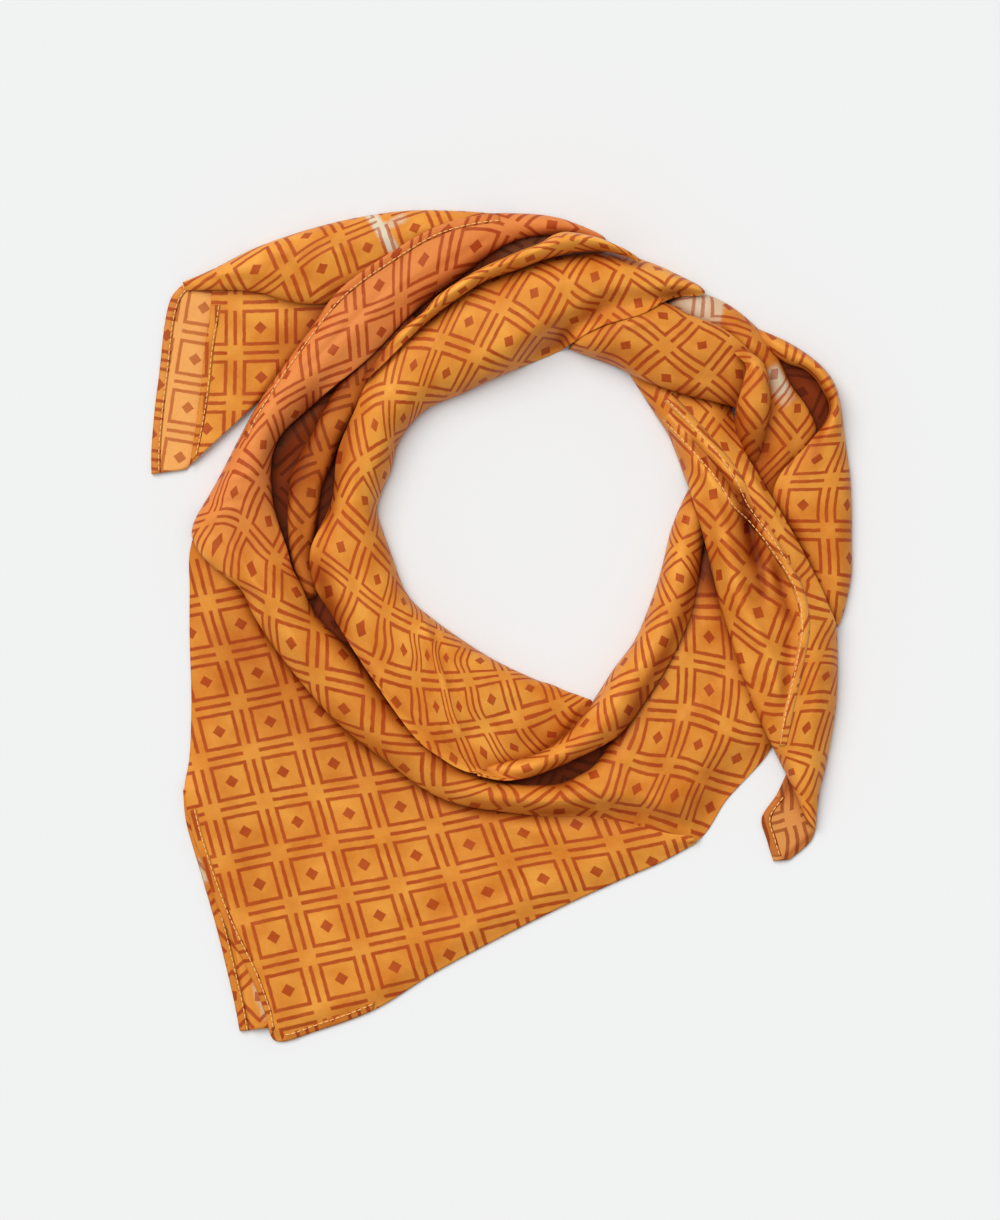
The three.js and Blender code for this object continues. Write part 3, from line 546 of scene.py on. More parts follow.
class HeightMap:
    """The tops of the stretches laid so far, by name, on a grid of millimetre cells."""

    def __init__(self):
        self.tops = {}

    def add(self, name, points):
        top = np.zeros((2 * MAP_Y, 2 * MAP_X))
        fine = halve_cells(halve_cells(points))
        column = np.clip((fine[..., 0] + MAP_X).astype(int), 0, 2 * MAP_X - 1)
        row = np.clip((fine[..., 1] + MAP_Y).astype(int), 0, 2 * MAP_Y - 1)
        np.maximum.at(top, (row, column), fine[..., 2])
        self.tops[name] = top

    def lies_on(self, name):
        """The stretches laid earlier that this one covers in part."""
        own = self.tops[name] > 0
        before = list(self.tops)[: list(self.tops).index(name)]
        shared = {other: np.sum(own & (self.tops[other] > 0)) for other in before}
        return [f"{other}_silk" for other in before if shared[other] > LEAST_OVERLAP]

    def mean_heights(self):
        """The mean height of the cloth around each cell, close by and farther off."""
        top = np.max(list(self.tops.values()), axis=0)
        covered = (top > 0).astype(float)
        means = []
        for reach in SHADE_REACHES:
            share = soften(covered, reach)
            mean = soften(top, reach) / np.maximum(share, 0.02)
            means.append((mean, smooth(2.2 * share - 1.1)))
        return means

    def under(self, beside):
        """The surface that a stretch lies on: the cloth below, bridged over and softened."""
        lower = np.zeros((2 * MAP_Y, 2 * MAP_X))
        for other, top in self.tops.items():
            if other not in beside:
                lower = np.maximum(lower, top)
        bridged = soften(spread(lower, BRIDGE_REACH), BRIDGE_REACH)
        surface = np.maximum(bridged, spread(lower, 1))
        return np.where(surface > 0.05, surface + LAYER_GAP, 0)


def halve_cells(points):
    """A grid with a point added between each pair of neighbours."""
    rows, columns, size = points.shape
    wide = np.empty((rows, 2 * columns - 1, size))
    wide[:, ::2] = points
    wide[:, 1::2] = (points[:, 1:] + points[:, :-1]) / 2
    tall = np.empty((2 * rows - 1, 2 * columns - 1, size))
    tall[::2] = wide
    tall[1::2] = (wide[1:] + wide[:-1]) / 2
    return tall


def spread(surface, reach):
    """The highest value within a reach, in cells."""
    result = surface.copy()
    for axis in (0, 1):
        source = result.copy()
        for shift in range(1, reach + 1):
            result = np.maximum(result, np.roll(source, shift, axis))
            result = np.maximum(result, np.roll(source, -shift, axis))
    return result


def soften(surface, radius):
    """A Gaussian blur, with its radius in cells."""
    result = surface
    offsets = range(-2 * radius, 2 * radius + 1)
    weights = [math.exp(-0.5 * (offset / radius) ** 2) for offset in offsets]
    for axis in (0, 1):
        shifted = [w * np.roll(result, o, axis) for o, w in zip(offsets, weights)]
        result = sum(shifted) / sum(weights)
    return result


def read_map(surface, x, y):
    """The height of a surface at points of the plan."""
    column = np.clip(x + MAP_X - 0.5, 0, 2 * MAP_X - 2)
    row = np.clip(y + MAP_Y - 0.5, 0, 2 * MAP_Y - 2)
    c = column.astype(int)
    r = row.astype(int)
    u = column - c
    v = row - r
    near = surface[r, c] * (1 - u) + surface[r, c + 1] * u
    far = surface[r + 1, c] * (1 - u) + surface[r + 1, c + 1] * u
    return near * (1 - v) + far * v


def edge_profile(folded, points):
    """Points from an edge to its crown: how far in, how far up, and how far turned under."""
    if folded:
        low = np.radians(np.linspace(TUCK_FROM, TUCK_TO, TUCK_POINTS))
        high = np.radians(np.linspace(0, 90, points))
        start = np.zeros(TUCK_POINTS)
        inward = np.concatenate([start, 1 - np.cos(high)])
        rise = np.concatenate([start, np.sin(high)])
        tuck = np.concatenate([1 - np.cos(low), np.zeros(points)])
        drop = np.concatenate([-np.sin(low), np.zeros(points)])
        return inward, rise, tuck, drop
    inward = np.linspace(0, 1, points)
    rise = np.sin(np.radians(90 * inward)) ** LAID_EDGE_POWER
    return inward, rise, np.zeros(points), np.zeros(points)


def along_line(x, y, line, width, full):
    """A value that is full along a line of the plan and fades out beside and beyond it."""
    x1, y1, x2, y2 = line
    length = math.hypot(x2 - x1, y2 - y1)
    along_x = (x2 - x1) / length
    along_y = (y2 - y1) / length
    run = (x - x1) * along_x + (y - y1) * along_y
    side = (y - y1) * along_x - (x - x1) * along_y
    ends = smooth((run + width) / (2 * width)) * smooth((length - run + width) / (2 * width))
    return full * ends * np.exp(-((side / (0.5 * width)) ** 2))


def crease_height(name, x, y):
    """The height that a stretch's creases add at points of the plan."""
    height = np.zeros_like(x)
    for *line, width, crest in CREASES.get(name, []):
        height += along_line(x, y, line, width, crest)
    return height


def slack(name, x, y):
    """Low uneven waves of loose silk, different for each stretch."""
    random = np.random.default_rng(sum(ord(letter) for letter in name))
    height = np.zeros_like(x)
    for wavelength in SLACK_WAVES:
        angle = random.uniform(0, math.pi)
        phase = random.uniform(0, 2 * math.pi)
        run = x * math.cos(angle) + y * math.sin(angle)
        height += np.sin(2 * math.pi * run / wavelength + phase) * wavelength / SLACK_RATIO
    return height


def base_under(name, numbers, x, y, heights):
    """The height of what lies under each point of a stretch."""
    base = read_map(heights.under([]), x, y)
    aside = [row for row in BESIDE if row[0] == name]
    if aside:
        lower = read_map(heights.under([row[1] for row in aside]), x, y)
        first = min(row[2] for row in aside)
        last = max(row[3] for row in aside)
        share = smooth(numbers - first + 1) * smooth(last + 1 - numbers)
        base += share[:, None] * (lower - base)
    return base


def softness(name, side, numbers):
    """How flat an edge runs out at each section, from 0 to 1, and its shoulder then."""
    soft_side, first, last, reach = SOFT_EDGES.get(name, ("none", 0, 0, 1))
    share = smooth((numbers - first) / SOFT_EDGE_RUN) * smooth((last - numbers) / SOFT_EDGE_RUN)
    return (share if side == soft_side else 0 * share)[:, None], reach


def end_share(sections):
    """How far each section is from the stretch's ends: 0 at an end and 1 past the end's reach."""
    run = running(plan_steps((sections[:, 0:2] + sections[:, 2:4]) / 2))
    reach = min(END_REACH, run[-1] / 3)
    near = np.clip(np.minimum(run, run[-1] - run) / reach, 0, 1)
    return np.sqrt(1 - (1 - near) ** 2)[:, None]


def close_ends(sections, ends):
    """Sections drawn in towards their middle at the ends of a stretch."""
    centre = np.tile((sections[:, 0:2] + sections[:, 2:4]) / 2, 2)
    closed = centre + (END_WIDTH + (1 - END_WIDTH) * ends) * (sections[:, 0:4] - centre)
    return np.hstack([closed, sections[:, 4:5]])


def lay(name, heights):
    """The grid of points of a stretch on top of what lies under it."""
    stretch = STRETCHES[name]
    folded = stretch.held == "folded"
    numbers, sections = read_sections(name)
    ends = end_share(sections)
    if name in ROUND_ENDS:
        sections = close_ends(sections, ends)
    across = sections[:, 2:4] - sections[:, 0:2]
    width = np.hypot(*across.T)[:, None]
    edge_points = max(4, int(round(EDGE_DENSITY * stretch.shoulder / STEP)))
    inward, rise, tuck, drop = edge_profile(folded, edge_points)
    sides = []
    for side in ("left", "right"):
        soft, reach = softness(name, side, numbers)
        shoulder = np.minimum(stretch.shoulder, width / WIDTH_TO_SHOULDER)
        shoulder = np.minimum(shoulder + soft * (reach - shoulder), width / 2)
        turned = tuck * np.minimum(LOW_REACH, width / WIDTH_TO_TUCK) * (1 - SOFT_EDGE_TUCK_LOSS * soft)
        sides.append((soft, shoulder, inward * shoulder + turned, rise + soft * (smooth(inward) - rise)))
    left_soft, left_shoulder, left, left_rise = sides[0]
    right_soft, right_shoulder, right, right_rise = sides[1]

    middle_count = max(2, int(round((width.max() - 2 * stretch.shoulder) / STEP)))
    share = np.linspace(0, 1, middle_count + 1)[1:-1]
    between = left_shoulder + share * (width - left_shoulder - right_shoulder)
    distance = np.hstack([left, between, (width - right)[:, ::-1]])
    rise = np.hstack([left_rise, np.ones_like(between), right_rise[:, ::-1]])
    drop = np.concatenate([drop, 0 * share, drop[::-1]])
    unit = across / width
    x = sections[:, 0:1] + distance * unit[:, 0:1]
    y = sections[:, 1:2] + distance * unit[:, 1:2]

    lip = LIPS[stretch.held] * (1 - 2 * np.where(distance < width / 2, left_soft, right_soft))
    base = base_under(name, numbers, x, y, heights)
    loose = smooth(np.minimum(distance, width - distance) / LOOSE_FROM)
    height = sections[:, 4:5]
    crown = height + loose * (crease_height(name, x, y) + slack(name, x, y))
    if folded:
        crown -= SIDE_FALL * height * (2 * distance / width - 1) ** 2
        crown = lip + (END_HEIGHT + (1 - END_HEIGHT) * ends) * (crown - lip)
    crown = soft_max(crown, base + lip + OVER_BASE, CROWN_BLEND)
    edge = np.maximum(base + lip, SHELL)
    z = edge + rise * (crown - edge) - drop * np.maximum(lip - SHELL - FLOOR_PLAY, LEAST_DROP)
    upper = np.broadcast_to(drop == 0, x.shape)
    return dict(name=name, numbers=numbers, points=np.dstack([x, y, z]), upper=upper)


def cloth_coordinates(laid):
    """Where each point lies on the flat cloth, in millimetres along and across."""
    points = laid["points"]
    if laid["name"] in FLAT_PRINT:
        return points[..., 0:2].copy()
    steps = np.linalg.norm(np.diff(points, axis=1), axis=2)
    across = np.concatenate([np.zeros((len(points), 1)), np.cumsum(steps, axis=1)], axis=1)
    middle = points.shape[1] // 2
    across -= across[:, middle : middle + 1]
    centre = points[:, middle - 2 : middle + 3].mean(axis=1)
    run = running(np.linalg.norm(np.diff(centre, axis=0), axis=1))
    return np.dstack([np.broadcast_to(run[:, None], across.shape), across])


def similarity(places, squares):
    """The turned, mirrored or scaled lattice that fits the marks best: a matrix and an offset."""
    best = None
    for mirror in (1, -1):
        left = []
        for s, t in places:
            left.append([s, -mirror * t, 1, 0])
            left.append([mirror * t, s, 0, 1])
        right = squares.ravel()
        found = np.linalg.lstsq(left, right, rcond=None)[0]
        miss = np.sum((left @ found - right) ** 2)
        if best is None or miss < best[0]:
            a, b = found[:2]
            best = (miss, np.array([[a, -mirror * b], [b, mirror * a]]), found[2:])
    return best[1:]


def print_coordinates(laid):
    """The printed lattice's column and row at each point, through the marks read from it."""
    cloth = cloth_coordinates(laid)
    marks = np.array(MARKS.get(laid["name"], []), float)
    if len(marks) < 3:
        turn = math.radians(PLAIN_TURN)
        matrix = np.array([[math.cos(turn), -math.sin(turn)], [math.sin(turn), math.cos(turn)]])
        return cloth @ (matrix / PITCH).T + np.array(PLAIN_OFFSET)
    plan = laid["points"][..., 0:2]
    places = []
    for x, y, _, _ in marks:
        off = np.hypot(plan[..., 0] - x, plan[..., 1] - y) + np.where(laid["upper"], 0, 1000)
        places.append(cloth[np.unravel_index(np.argmin(off), off.shape)])
    places = np.array(places)
    matrix, offset = similarity(places, marks[:, 2:4])
    even = cloth @ matrix.T + offset
    miss = marks[:, 2:4] - (places @ matrix.T + offset)
    return even + between_marks(cloth, places, miss)


def between_marks(cloth, places, values):
    """Values given at some places of the cloth, carried smoothly over all of it."""
    count = len(places)
    apart = np.linalg.norm(places[:, None] - places[None, :], axis=2)
    system = np.ones((count + 1, count + 1))
    system[:count, :count] = MARK_SLACKNESS * np.eye(count) - np.hypot(apart, MARK_ROUND_OFF)
    system[count, count] = 0
    weights = np.linalg.solve(system, np.vstack([values, np.zeros((1, 2))]))
    result = np.zeros(cloth.shape) + weights[count]
    for place, weight in zip(places, weights):
        away = np.linalg.norm(cloth - place, axis=2)
        result -= np.hypot(away, MARK_ROUND_OFF)[..., None] * weight
    return result


def patch_strength(name, x, y):
    """How undyed the cloth is at points of the plan, from 0 to 1."""
    strength = np.zeros_like(x)
    for stretch, middle_x, middle_y, length, width, degrees, full in PATCHES:
        if stretch != name:
            continue
        turn = math.radians(degrees)
        along = ((x - middle_x) * math.cos(turn) + (y - middle_y) * math.sin(turn)) / length
        side = ((y - middle_y) * math.cos(turn) - (x - middle_x) * math.sin(turn)) / width
        away = np.maximum(np.abs(along), np.abs(side))
        strength = np.maximum(strength, full * smooth((PATCH_EDGE - away) / PATCH_FADE))
    return strength


def add_mesh(name, vertices, faces, material):
    """An object of the row frame from points in millimetres."""
    mesh = bpy.data.meshes.new(name)
    mesh.from_pydata((np.asarray(vertices) * MM).tolist(), [], faces)
    mesh.materials.append(material)
    mesh.polygons.foreach_set("use_smooth", [True] * len(mesh.polygons))
    mesh.update()
    piece = bpy.data.objects.new(name, mesh)
    bpy.context.collection.objects.link(piece)
    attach(piece, "root")
    return piece


def grid_faces(points):
    """The four-sided faces of a grid, turned so that its face side is up."""
    rows, columns = points.shape[:2]
    index = np.arange(rows * columns).reshape(rows, columns)
    quads = np.stack([index[:-1, :-1], index[:-1, 1:], index[1:, 1:], index[1:, :-1]], axis=-1)
    middle = points[rows // 2 : rows // 2 + 2, columns // 2 : columns // 2 + 2]
    first = middle[0, 1] - middle[0, 0]
    second = middle[1, 0] - middle[0, 0]
    if first[0] * second[1] - first[1] * second[0] < 0:
        quads = quads[..., ::-1]
    return quads.reshape(-1, 4).tolist()


def cloth_piece(name, points, lattice, tones, material, thickness=SHELL):
    """A thin shell over a grid, with the print's lattice as its UVs and tones as attributes."""
    piece = add_mesh(name, points.reshape(-1, 3), grid_faces(points), material)
    mesh = piece.data
    layer = mesh.uv_layers.new(name="print")
    corners = np.empty(len(mesh.loops), dtype=int)
    mesh.loops.foreach_get("vertex_index", corners)
    layer.data.foreach_set("uv", lattice.reshape(-1, 2)[corners].ravel())
    for tone, values in tones.items():
        attribute = mesh.attributes.new(tone, "FLOAT", "POINT")
        attribute.data.foreach_set("value", np.asarray(values, float).ravel())
    shell = piece.modifiers.new("shell", "SOLIDIFY")
    shell.thickness = thickness * MM
    shell.offset = -1
    return piece


def linear(colour):
    """A colour of the screen, from 0 to 255, as linear light."""
    channels = []
    for value in colour:
        share = value / 255
        channels.append(share / 12.92 if share <= 0.04045 else ((share + 0.055) / 1.055) ** 2.4)
    return (*channels, 1.0)


class Net:
    """Short words for a material's nodes."""

    def __init__(self, name):
        self.material = bpy.data.materials.new(name)
        self.material.use_nodes = True
        self.nodes = self.material.node_tree.nodes
        self.links = self.material.node_tree.links
        self.shader = self.nodes["Principled BSDF"]

    def put(self, socket, value):
        if isinstance(value, bpy.types.NodeSocket):
            self.links.new(value, socket)
        else:
            socket.default_value = value

    def set(self, **values):
        """Values of the shader's own sockets, with their names' spaces as underlines."""
        for name, value in values.items():
            self.put(self.shader.inputs[name.replace("_", " ")], value)

    def math(self, operation, *values):
        node = self.nodes.new("ShaderNodeMath")
        node.operation = operation
        for socket, value in zip(node.inputs, values):
            self.put(socket, value)
        return node.outputs[0]

    def plus(self, first, second):
        return self.math("ADD", first, second)

    def minus(self, first, second):
        return self.math("SUBTRACT", first, second)

    def times(self, first, second):
        return self.math("MULTIPLY", first, second)

    def off_whole(self, value):
        """How far a value is from the nearest whole number."""
        return self.math("ABSOLUTE", self.minus(self.math("FRACT", self.plus(value, 0.5)), 0.5))

    def inside(self, value, limit):
        """1 where a value is under a limit, with a soft edge."""
        node = self.nodes.new("ShaderNodeMapRange")
        node.interpolation_type = "SMOOTHSTEP"
        self.put(node.inputs["Value"], value)
        self.put(node.inputs["From Min"], limit + PRINT_SOFTNESS)
        self.put(node.inputs["From Max"], limit - PRINT_SOFTNESS)
        return node.outputs["Result"]

    def mix(self, share, first, second):
        node = self.nodes.new("ShaderNodeMix")
        node.data_type = "RGBA"
        self.put(node.inputs["Factor"], share)
        self.put(node.inputs["A"], first)
        self.put(node.inputs["B"], second)
        return node.outputs["Result"]

    def attribute(self, name):
        node = self.nodes.new("ShaderNodeAttribute")
        node.attribute_name = name
        return node.outputs["Fac"]

    def combine(self, x, y, z=0.0):
        node = self.nodes.new("ShaderNodeCombineXYZ")
        for socket, value in zip(node.inputs, (x, y, z)):
            self.put(socket, value)
        return node.outputs[0]

    def noise(self, vector, scale, detail=2.0):
        node = self.nodes.new("ShaderNodeTexNoise")
        self.put(node.inputs["Vector"], vector)
        self.put(node.inputs["Scale"], scale)
        self.put(node.inputs["Detail"], detail)
        return node.outputs["Fac"]


# The print, in shares of its pitch.
SQUARE_LINE_MIDDLE = 0.322
SQUARE_LINE_HALF = 0.034
BAR_HALF_WIDTH = 0.036
BAR_HALF_LENGTH = 0.345
MARK_HALF_DIAGONAL = 0.128
PRINT_SOFTNESS = 0.012
HAND_PRINT_WAVER = 0.03

# The weave: how often it changes in one pitch of the print, across its threads and along them, and
# how much darker its hollows are.
THREADS_ACROSS = 60.0
THREADS_ALONG = 5.0
WEAVE_LEAST = 0.82
WEAVE_GAIN = 0.36

# How uneven the ink is, and what it loses on thin and on undyed cloth.
INK_LEAST = 0.7
INK_GAIN = 0.36
INK_LOSS_THIN = 0.35
INK_LOSS_UNDYED = 0.22

# How fast red, green and blue fall in the painted shade of the cloth's hollows.
SHADE_DEPTHS = (0.9, 1.6, 1.95)

# Colours of the dyed silk, its print and its undyed patches.
GOLD = (232, 155, 63)
GOLD_DEEP = (205, 114, 34)
PINK = (228, 136, 70)
THIN = (252, 184, 110)
UNDYED = (218, 202, 174)
INK = (170, 62, 24)
BACK = (204, 120, 46)
BACK_DEEP = (180, 92, 26)
BACK_INK = (142, 54, 16)
THREAD = (255, 212, 138)
THREAD_DEEP = (244, 184, 98)
GLOSS = (255, 214, 160)
TABLE = (239, 240, 240)
TABLE_DEEP = (237, 238, 238)


def lattice_print(net, lattice, column, row):
    """How strong the print is: a square's outline, the mark in it and the bars around it."""
    push = net.times(net.minus(net.noise(lattice, 7.0), 0.5), HAND_PRINT_WAVER)
    off_u = net.off_whole(net.plus(column, push))
    off_v = net.off_whole(net.minus(row, push))
    ring = net.minus(net.math("MAXIMUM", off_u, off_v), SQUARE_LINE_MIDDLE)
    outline = net.inside(net.math("ABSOLUTE", ring), SQUARE_LINE_HALF)
    mark = net.inside(net.plus(off_u, off_v), MARK_HALF_DIAGONAL)
    printed = net.math("MAXIMUM", outline, mark)
    for along, across in ((off_u, off_v), (off_v, off_u)):
        thin = net.inside(net.minus(0.5, across), BAR_HALF_WIDTH)
        bar = net.times(thin, net.inside(along, BAR_HALF_LENGTH))
        printed = net.math("MAXIMUM", printed, bar)
    worn = net.plus(net.times(net.noise(lattice, 3.5, 3.0), INK_GAIN), INK_LEAST)
    thin_loss = net.times(net.attribute("thin"), INK_LOSS_THIN)
    undyed_loss = net.times(net.attribute("undyed"), INK_LOSS_UNDYED)
    kept = net.minus(1.0, net.plus(thin_loss, undyed_loss))
    return net.times(net.times(printed, worn), kept)


def printed_silk(name, ground, deep, ink, roughness):
    """Silk with the printed lattice of squares, marks and bars, from the UVs that are its lattice."""
    net = Net(name)
    uv = net.nodes.new("ShaderNodeUVMap")
    uv.uv_map = "print"
    lattice = uv.outputs[0]
    split = net.nodes.new("ShaderNodeSeparateXYZ")
    net.put(split.inputs[0], lattice)
    column, row, _ = split.outputs
    printed = lattice_print(net, lattice, column, row)

    cloud = net.plus(net.noise(lattice, 0.45), net.noise(lattice, 1.7, 3.0))
    dyed = net.mix(net.plus(net.times(cloud, 1.7), -1.1), linear(deep), linear(ground))
    for tint, colour in (("pink", PINK), ("thin", THIN), ("undyed", UNDYED)):
        dyed = net.mix(net.attribute(tint), dyed, linear(colour))
    colour = net.mix(printed, dyed, linear(ink))

    threads = []
    for scales in ((THREADS_ACROSS, THREADS_ALONG), (THREADS_ALONG, THREADS_ACROSS)):
        stretched = net.combine(net.times(column, scales[0]), net.times(row, scales[1]))
        threads.append(net.noise(stretched, 1.0))
    threads = net.times(net.plus(*threads), 0.5)
    weave = net.plus(net.times(threads, WEAVE_GAIN), WEAVE_LEAST)
    # The tone attribute is painted shade and painted highlight; the shade takes green and blue faster than
    # red.
    tone = net.attribute("tone")
    shade = [net.times(weave, net.math("POWER", tone, depth)) for depth in SHADE_DEPTHS]
    product = net.nodes.new("ShaderNodeVectorMath")
    product.operation = "MULTIPLY"
    net.put(product.inputs[0], colour)
    net.put(product.inputs[1], net.combine(*shade))
    bump = net.nodes.new("ShaderNodeBump")
    for socket, value in (("Strength", 0.25), ("Distance", 0.0003), ("Height", threads)):
        net.put(bump.inputs[socket], value)
    net.set(Base_Color=product.outputs[0], Normal=bump.outputs[0], Roughness=roughness)
    net.set(Specular_IOR_Level=0.22, Specular_Tint=linear(GLOSS))
    net.set(Sheen_Weight=0.02, Sheen_Roughness=0.4, Sheen_Tint=linear(GLOSS))
    return net.material


def mottled(name, scale, deep, colour, **values):
    """A plain matt material with a faint grain between two colours."""
    net = Net(name)
    place = net.nodes.new("ShaderNodeTexCoord")
    grain = net.noise(place.outputs["Object"], scale)
    net.set(Base_Color=net.mix(grain, linear(deep), linear(colour)), **values)
    return net.material


SILKS = {
    "front": printed_silk("printed_silk", GOLD, GOLD_DEEP, INK, 0.42),
    "back": printed_silk("printed_silk_back", BACK, BACK_DEEP, BACK_INK, 0.5),
}
GOLDEN_THREAD = mottled("sewing_thread", 900.0, THREAD_DEEP, THREAD, Roughness=0.45)


def tones_of(laid, mean_heights):
    """The dye's tint, thinness, undyed share, and tone, which is painted shade and painted highlight, at
    each point of a stretch.
    """
    name = laid["name"]
    x, y, z = np.moveaxis(laid["points"], 2, 0)
    pink = np.zeros_like(x)
    if name == "outer_band":
        pink = smooth((y - PINK_TO) / (PINK_FROM - PINK_TO))
    # Painted shade where the cloth lies below the cloth around it, and painted highlight where it lies
    # above.
    close, wide = [(read_map(mean, x, y) - z) * read_map(share, x, y) for mean, share in mean_heights]
    lost = CLOSE_PAINTED_SHADE[0] * smooth(close / CLOSE_PAINTED_SHADE[1]) + WIDE_PAINTED_SHADE[0] * smooth(wide / WIDE_PAINTED_SHADE[1])
    tone = 1 - lost + CREST_PAINTED_HIGHLIGHT[0] * smooth(-close / CREST_PAINTED_HIGHLIGHT[1])
    # Painted shade along the deep folds listed for the stretch.
    for *line, width, share in PAINTED_SHADES.get(name, []):
        tone *= 1 - along_line(x, y, line, width, share)
    # Painted shade over the whole stretch, and painted light where its tone is above 1.
    tone *= STRETCHES[name].tone
    thin = np.full_like(x, THINNESS.get(name, 0.0))
    return dict(pink=pink, thin=thin, undyed=patch_strength(name, x, y), tone=tone)


def stitch_faces(start, end):
    """A short thread between two points: the corners and faces of a six-sided bar."""
    axis = (end - start) / np.linalg.norm(end - start)
    flat = np.cross(axis, np.array([0.0, 0.0, 1.0]))
    flat /= np.linalg.norm(flat)
    up = np.cross(flat, axis)
    corners = []
    taper = STITCH_TAPER * axis
    for at, size in ((start, STITCH_TIP), (start + taper, 1), (end - taper, 1), (end, STITCH_TIP)):
        for turn in range(6):
            angle = math.pi * turn / 3
            ring = math.cos(angle) * flat + math.sin(angle) * up
            corners.append(at + STITCH_RADIUS * size * ring)
    faces = [[5, 4, 3, 2, 1, 0], [18, 19, 20, 21, 22, 23]]
    for ring in range(3):
        for turn in range(6):
            a = 6 * ring + turn
            b = 6 * ring + (turn + 1) % 6
            faces.append([a, b, b + 6, a + 6])
    return corners, faces


def sew(name, line):
    """Stitches along a line of points on the cloth, as one piece."""
    run = running(np.linalg.norm(np.diff(line, axis=0), axis=1))
    vertices = []
    faces = []
    for start in np.arange(0.5, run[-1] - STITCH_LENGTH, STITCH_STEP):
        ends = [
            np.array([np.interp(at, run, line[:, axis]) for axis in range(3)])
            for at in (start, start + STITCH_LENGTH)
        ]
        corners, sides = stitch_faces(*ends)
        faces += [[corner + len(vertices) for corner in side] for side in sides]
        vertices += corners
    return add_mesh(name, vertices, faces, GOLDEN_THREAD)


def across_row(row, distances):
    """Values of one row of a grid read at distances in plan from its first point."""
    run = running(plan_steps(row))
    return np.stack([np.interp(distances, run, row[:, axis]) for axis in range(row.shape[1])], 1)


def hem_with_seam(name, points, lattice, tones, face, line):
    """A turned hem as a strip of its own, and its stitches along a line."""
    turned = name.replace("_hem", "_turned_hem")
    strip = cloth_piece(turned, points, lattice + HEM_SHIFT, tones, SILKS[face], HEM_SHELL)
    return strip, sew(name.replace("_hem", "_stitches"), line)


def edge_hem(name, laid, lattice, tones):
    """The turned hem along a stretch's left edge, and its stitches."""
    stretch, first, last = EDGE_HEMS[name]
    picked = (laid["numbers"] >= first) & (laid["numbers"] <= last)
    start = int(np.argmax(laid["upper"][0]))
    stack = np.dstack([laid["points"], lattice, *[tones[tone] for tone in TONE_NAMES]])
    rows = stack[picked][:, start : start + 40]
    distances = np.linspace(EDGE_HEM_FROM, HEM_WIDTH, len(EDGE_HEM_RISE))
    strip = np.array([across_row(row, distances) for row in rows])
    strip[..., 2] += EDGE_HEM_RISE
    hem_tones = {tone: strip[..., 5 + at] for at, tone in enumerate(TONE_NAMES)}
    hem_tones["tone"] = EDGE_HEM_TONE * hem_tones["tone"]
    hem_tones["thin"] = EDGE_HEM_THINNESS * hem_tones["thin"]
    line = np.array([across_row(row[:, :3], [HEM_WIDTH - EDGE_SEAM_INSET])[0] for row in rows])
    line[:, 2] += EDGE_SEAM_RISE
    return hem_with_seam(name, strip[..., :3], strip[..., 3:5], hem_tones, STRETCHES[stretch].face, line)


def near_mean(ground, values, x, y):
    """The mean of values at the points of the cloth close to a point of the plan."""
    off = np.hypot(ground[:, 0] - x, ground[:, 1] - y)
    weight = np.exp(-((off / TAIL_HEM_REACH) ** 2))
    return weight @ values / np.sum(weight)


def tail_hem(name, laid, lattice, tones):
    """A hem of a layer folded into the tail, where it shows on the tail's face."""
    _, sections = read_sections(name)
    shares = np.linspace(0, 1, len(TAIL_HEM_RISE))[None, :, None]
    plan = sections[:, None, 0:2] + shares * (sections[:, None, 2:4] - sections[:, None, 0:2])
    stack = np.dstack([laid["points"], lattice, tones["tone"]])[laid["upper"]]
    strip = np.array([[near_mean(stack, stack[:, 2:], x, y) for x, y in row] for row in plan])
    height = strip[..., 0] + np.array(TAIL_HEM_RISE)
    paleness = np.array(TAIL_HEM_PALENESS) + 0 * height
    hem_tones = dict(pink=0 * height, undyed=0 * height, thin=paleness, tone=TAIL_HEM_TONE * strip[..., 3])
    points = np.dstack([plan, height])
    line = points[:, 1] + np.array([0, 0, TAIL_SEAM_RISE])
    return hem_with_seam(name, points, strip[..., 1:3], hem_tones, "front", line)


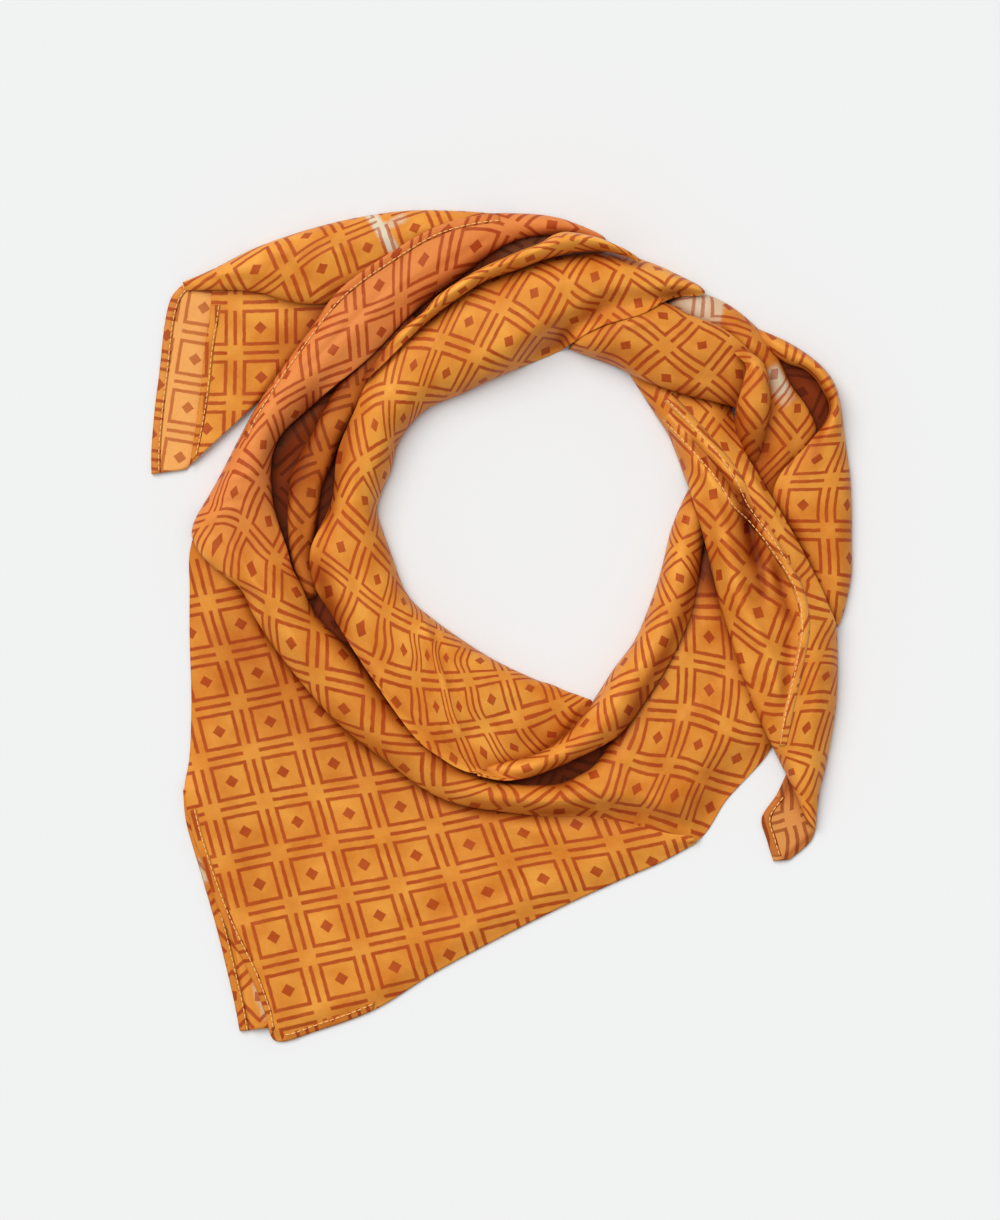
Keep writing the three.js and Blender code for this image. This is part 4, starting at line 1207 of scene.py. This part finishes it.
def make_stretch(laid, heights, mean_heights):
    """The mesh of one stretch with its hems and stitches; the solids of the stretch and its hems are
    hidden.
    """
    name = laid["name"]
    stretch = STRETCHES[name]
    lattice = print_coordinates(laid)
    tones = tones_of(laid, mean_heights)
    piece = cloth_piece(f"{name}_silk", laid["points"], lattice, tones, SILKS[stretch.face])
    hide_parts(name)
    hems = {hem: edge_hem(hem, laid, lattice, tones) for hem in EDGE_HEMS if EDGE_HEMS[hem][0] == name}
    if name == "tail":
        hems |= {hem: tail_hem(hem, laid, lattice, tones) for hem in TAIL_HEMS}
    for hem, (turned, seam) in hems.items():
        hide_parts(hem)
    heights.lies_on(name)


def build_scarf():
    heights = HeightMap()
    stretches = []
    for name in STRETCHES:
        laid = lay(name, heights)
        heights.add(name, laid["points"])
        stretches.append(laid)
    mean_heights = heights.mean_heights()
    for laid in stretches:
        make_stretch(laid, heights, mean_heights)


# The table, the light and the camera, in metres and degrees.
TABLE_SIZE = 8
TABLE_DROP = 0.0003
ROOM_LIGHT = 0.46
SUN_LIGHT = 2.2
SUN_SPREAD = 50
SUN_TILT = (-27, -24, 0)
CAMERA_PLACE = (-0.0009, 0.0096, 2.2)
FRAME_HEIGHT = 0.732
SENSOR = 36


def stage():
    """The pale table, the light and the camera straight above."""
    bpy.ops.mesh.primitive_plane_add(size=TABLE_SIZE, location=(0, 0, -TABLE_DROP))
    floor = bpy.context.object
    floor.name = "table_top"
    matt = mottled("pale_table", 3.0, TABLE_DEEP, TABLE, Roughness=0.9, Specular_IOR_Level=0.1)
    floor.data.materials.append(matt)

    world = bpy.data.worlds.new("soft_room")
    world.use_nodes = True
    background = world.node_tree.nodes["Background"].inputs
    background["Color"].default_value = (1.0, 1.0, 1.0, 1.0)
    background["Strength"].default_value = ROOM_LIGHT
    bpy.context.scene.world = world

    window = bpy.data.lights.new("window", "SUN")
    window.angle = math.radians(SUN_SPREAD)
    window.energy = SUN_LIGHT
    lamp = bpy.data.objects.new("window", window)
    lamp.rotation_euler = [math.radians(tilt) for tilt in SUN_TILT]
    bpy.context.collection.objects.link(lamp)

    view = bpy.data.cameras.new("camera")
    view.sensor_fit = "VERTICAL"
    view.sensor_height = SENSOR
    view.lens = SENSOR * CAMERA_PLACE[2] / FRAME_HEIGHT
    camera = bpy.data.objects.new("camera", view)
    camera.location = CAMERA_PLACE
    bpy.context.collection.objects.link(camera)
    bpy.context.scene.camera = camera
    bpy.context.scene.view_settings.view_transform = "Standard"


build_scarf()
stage()
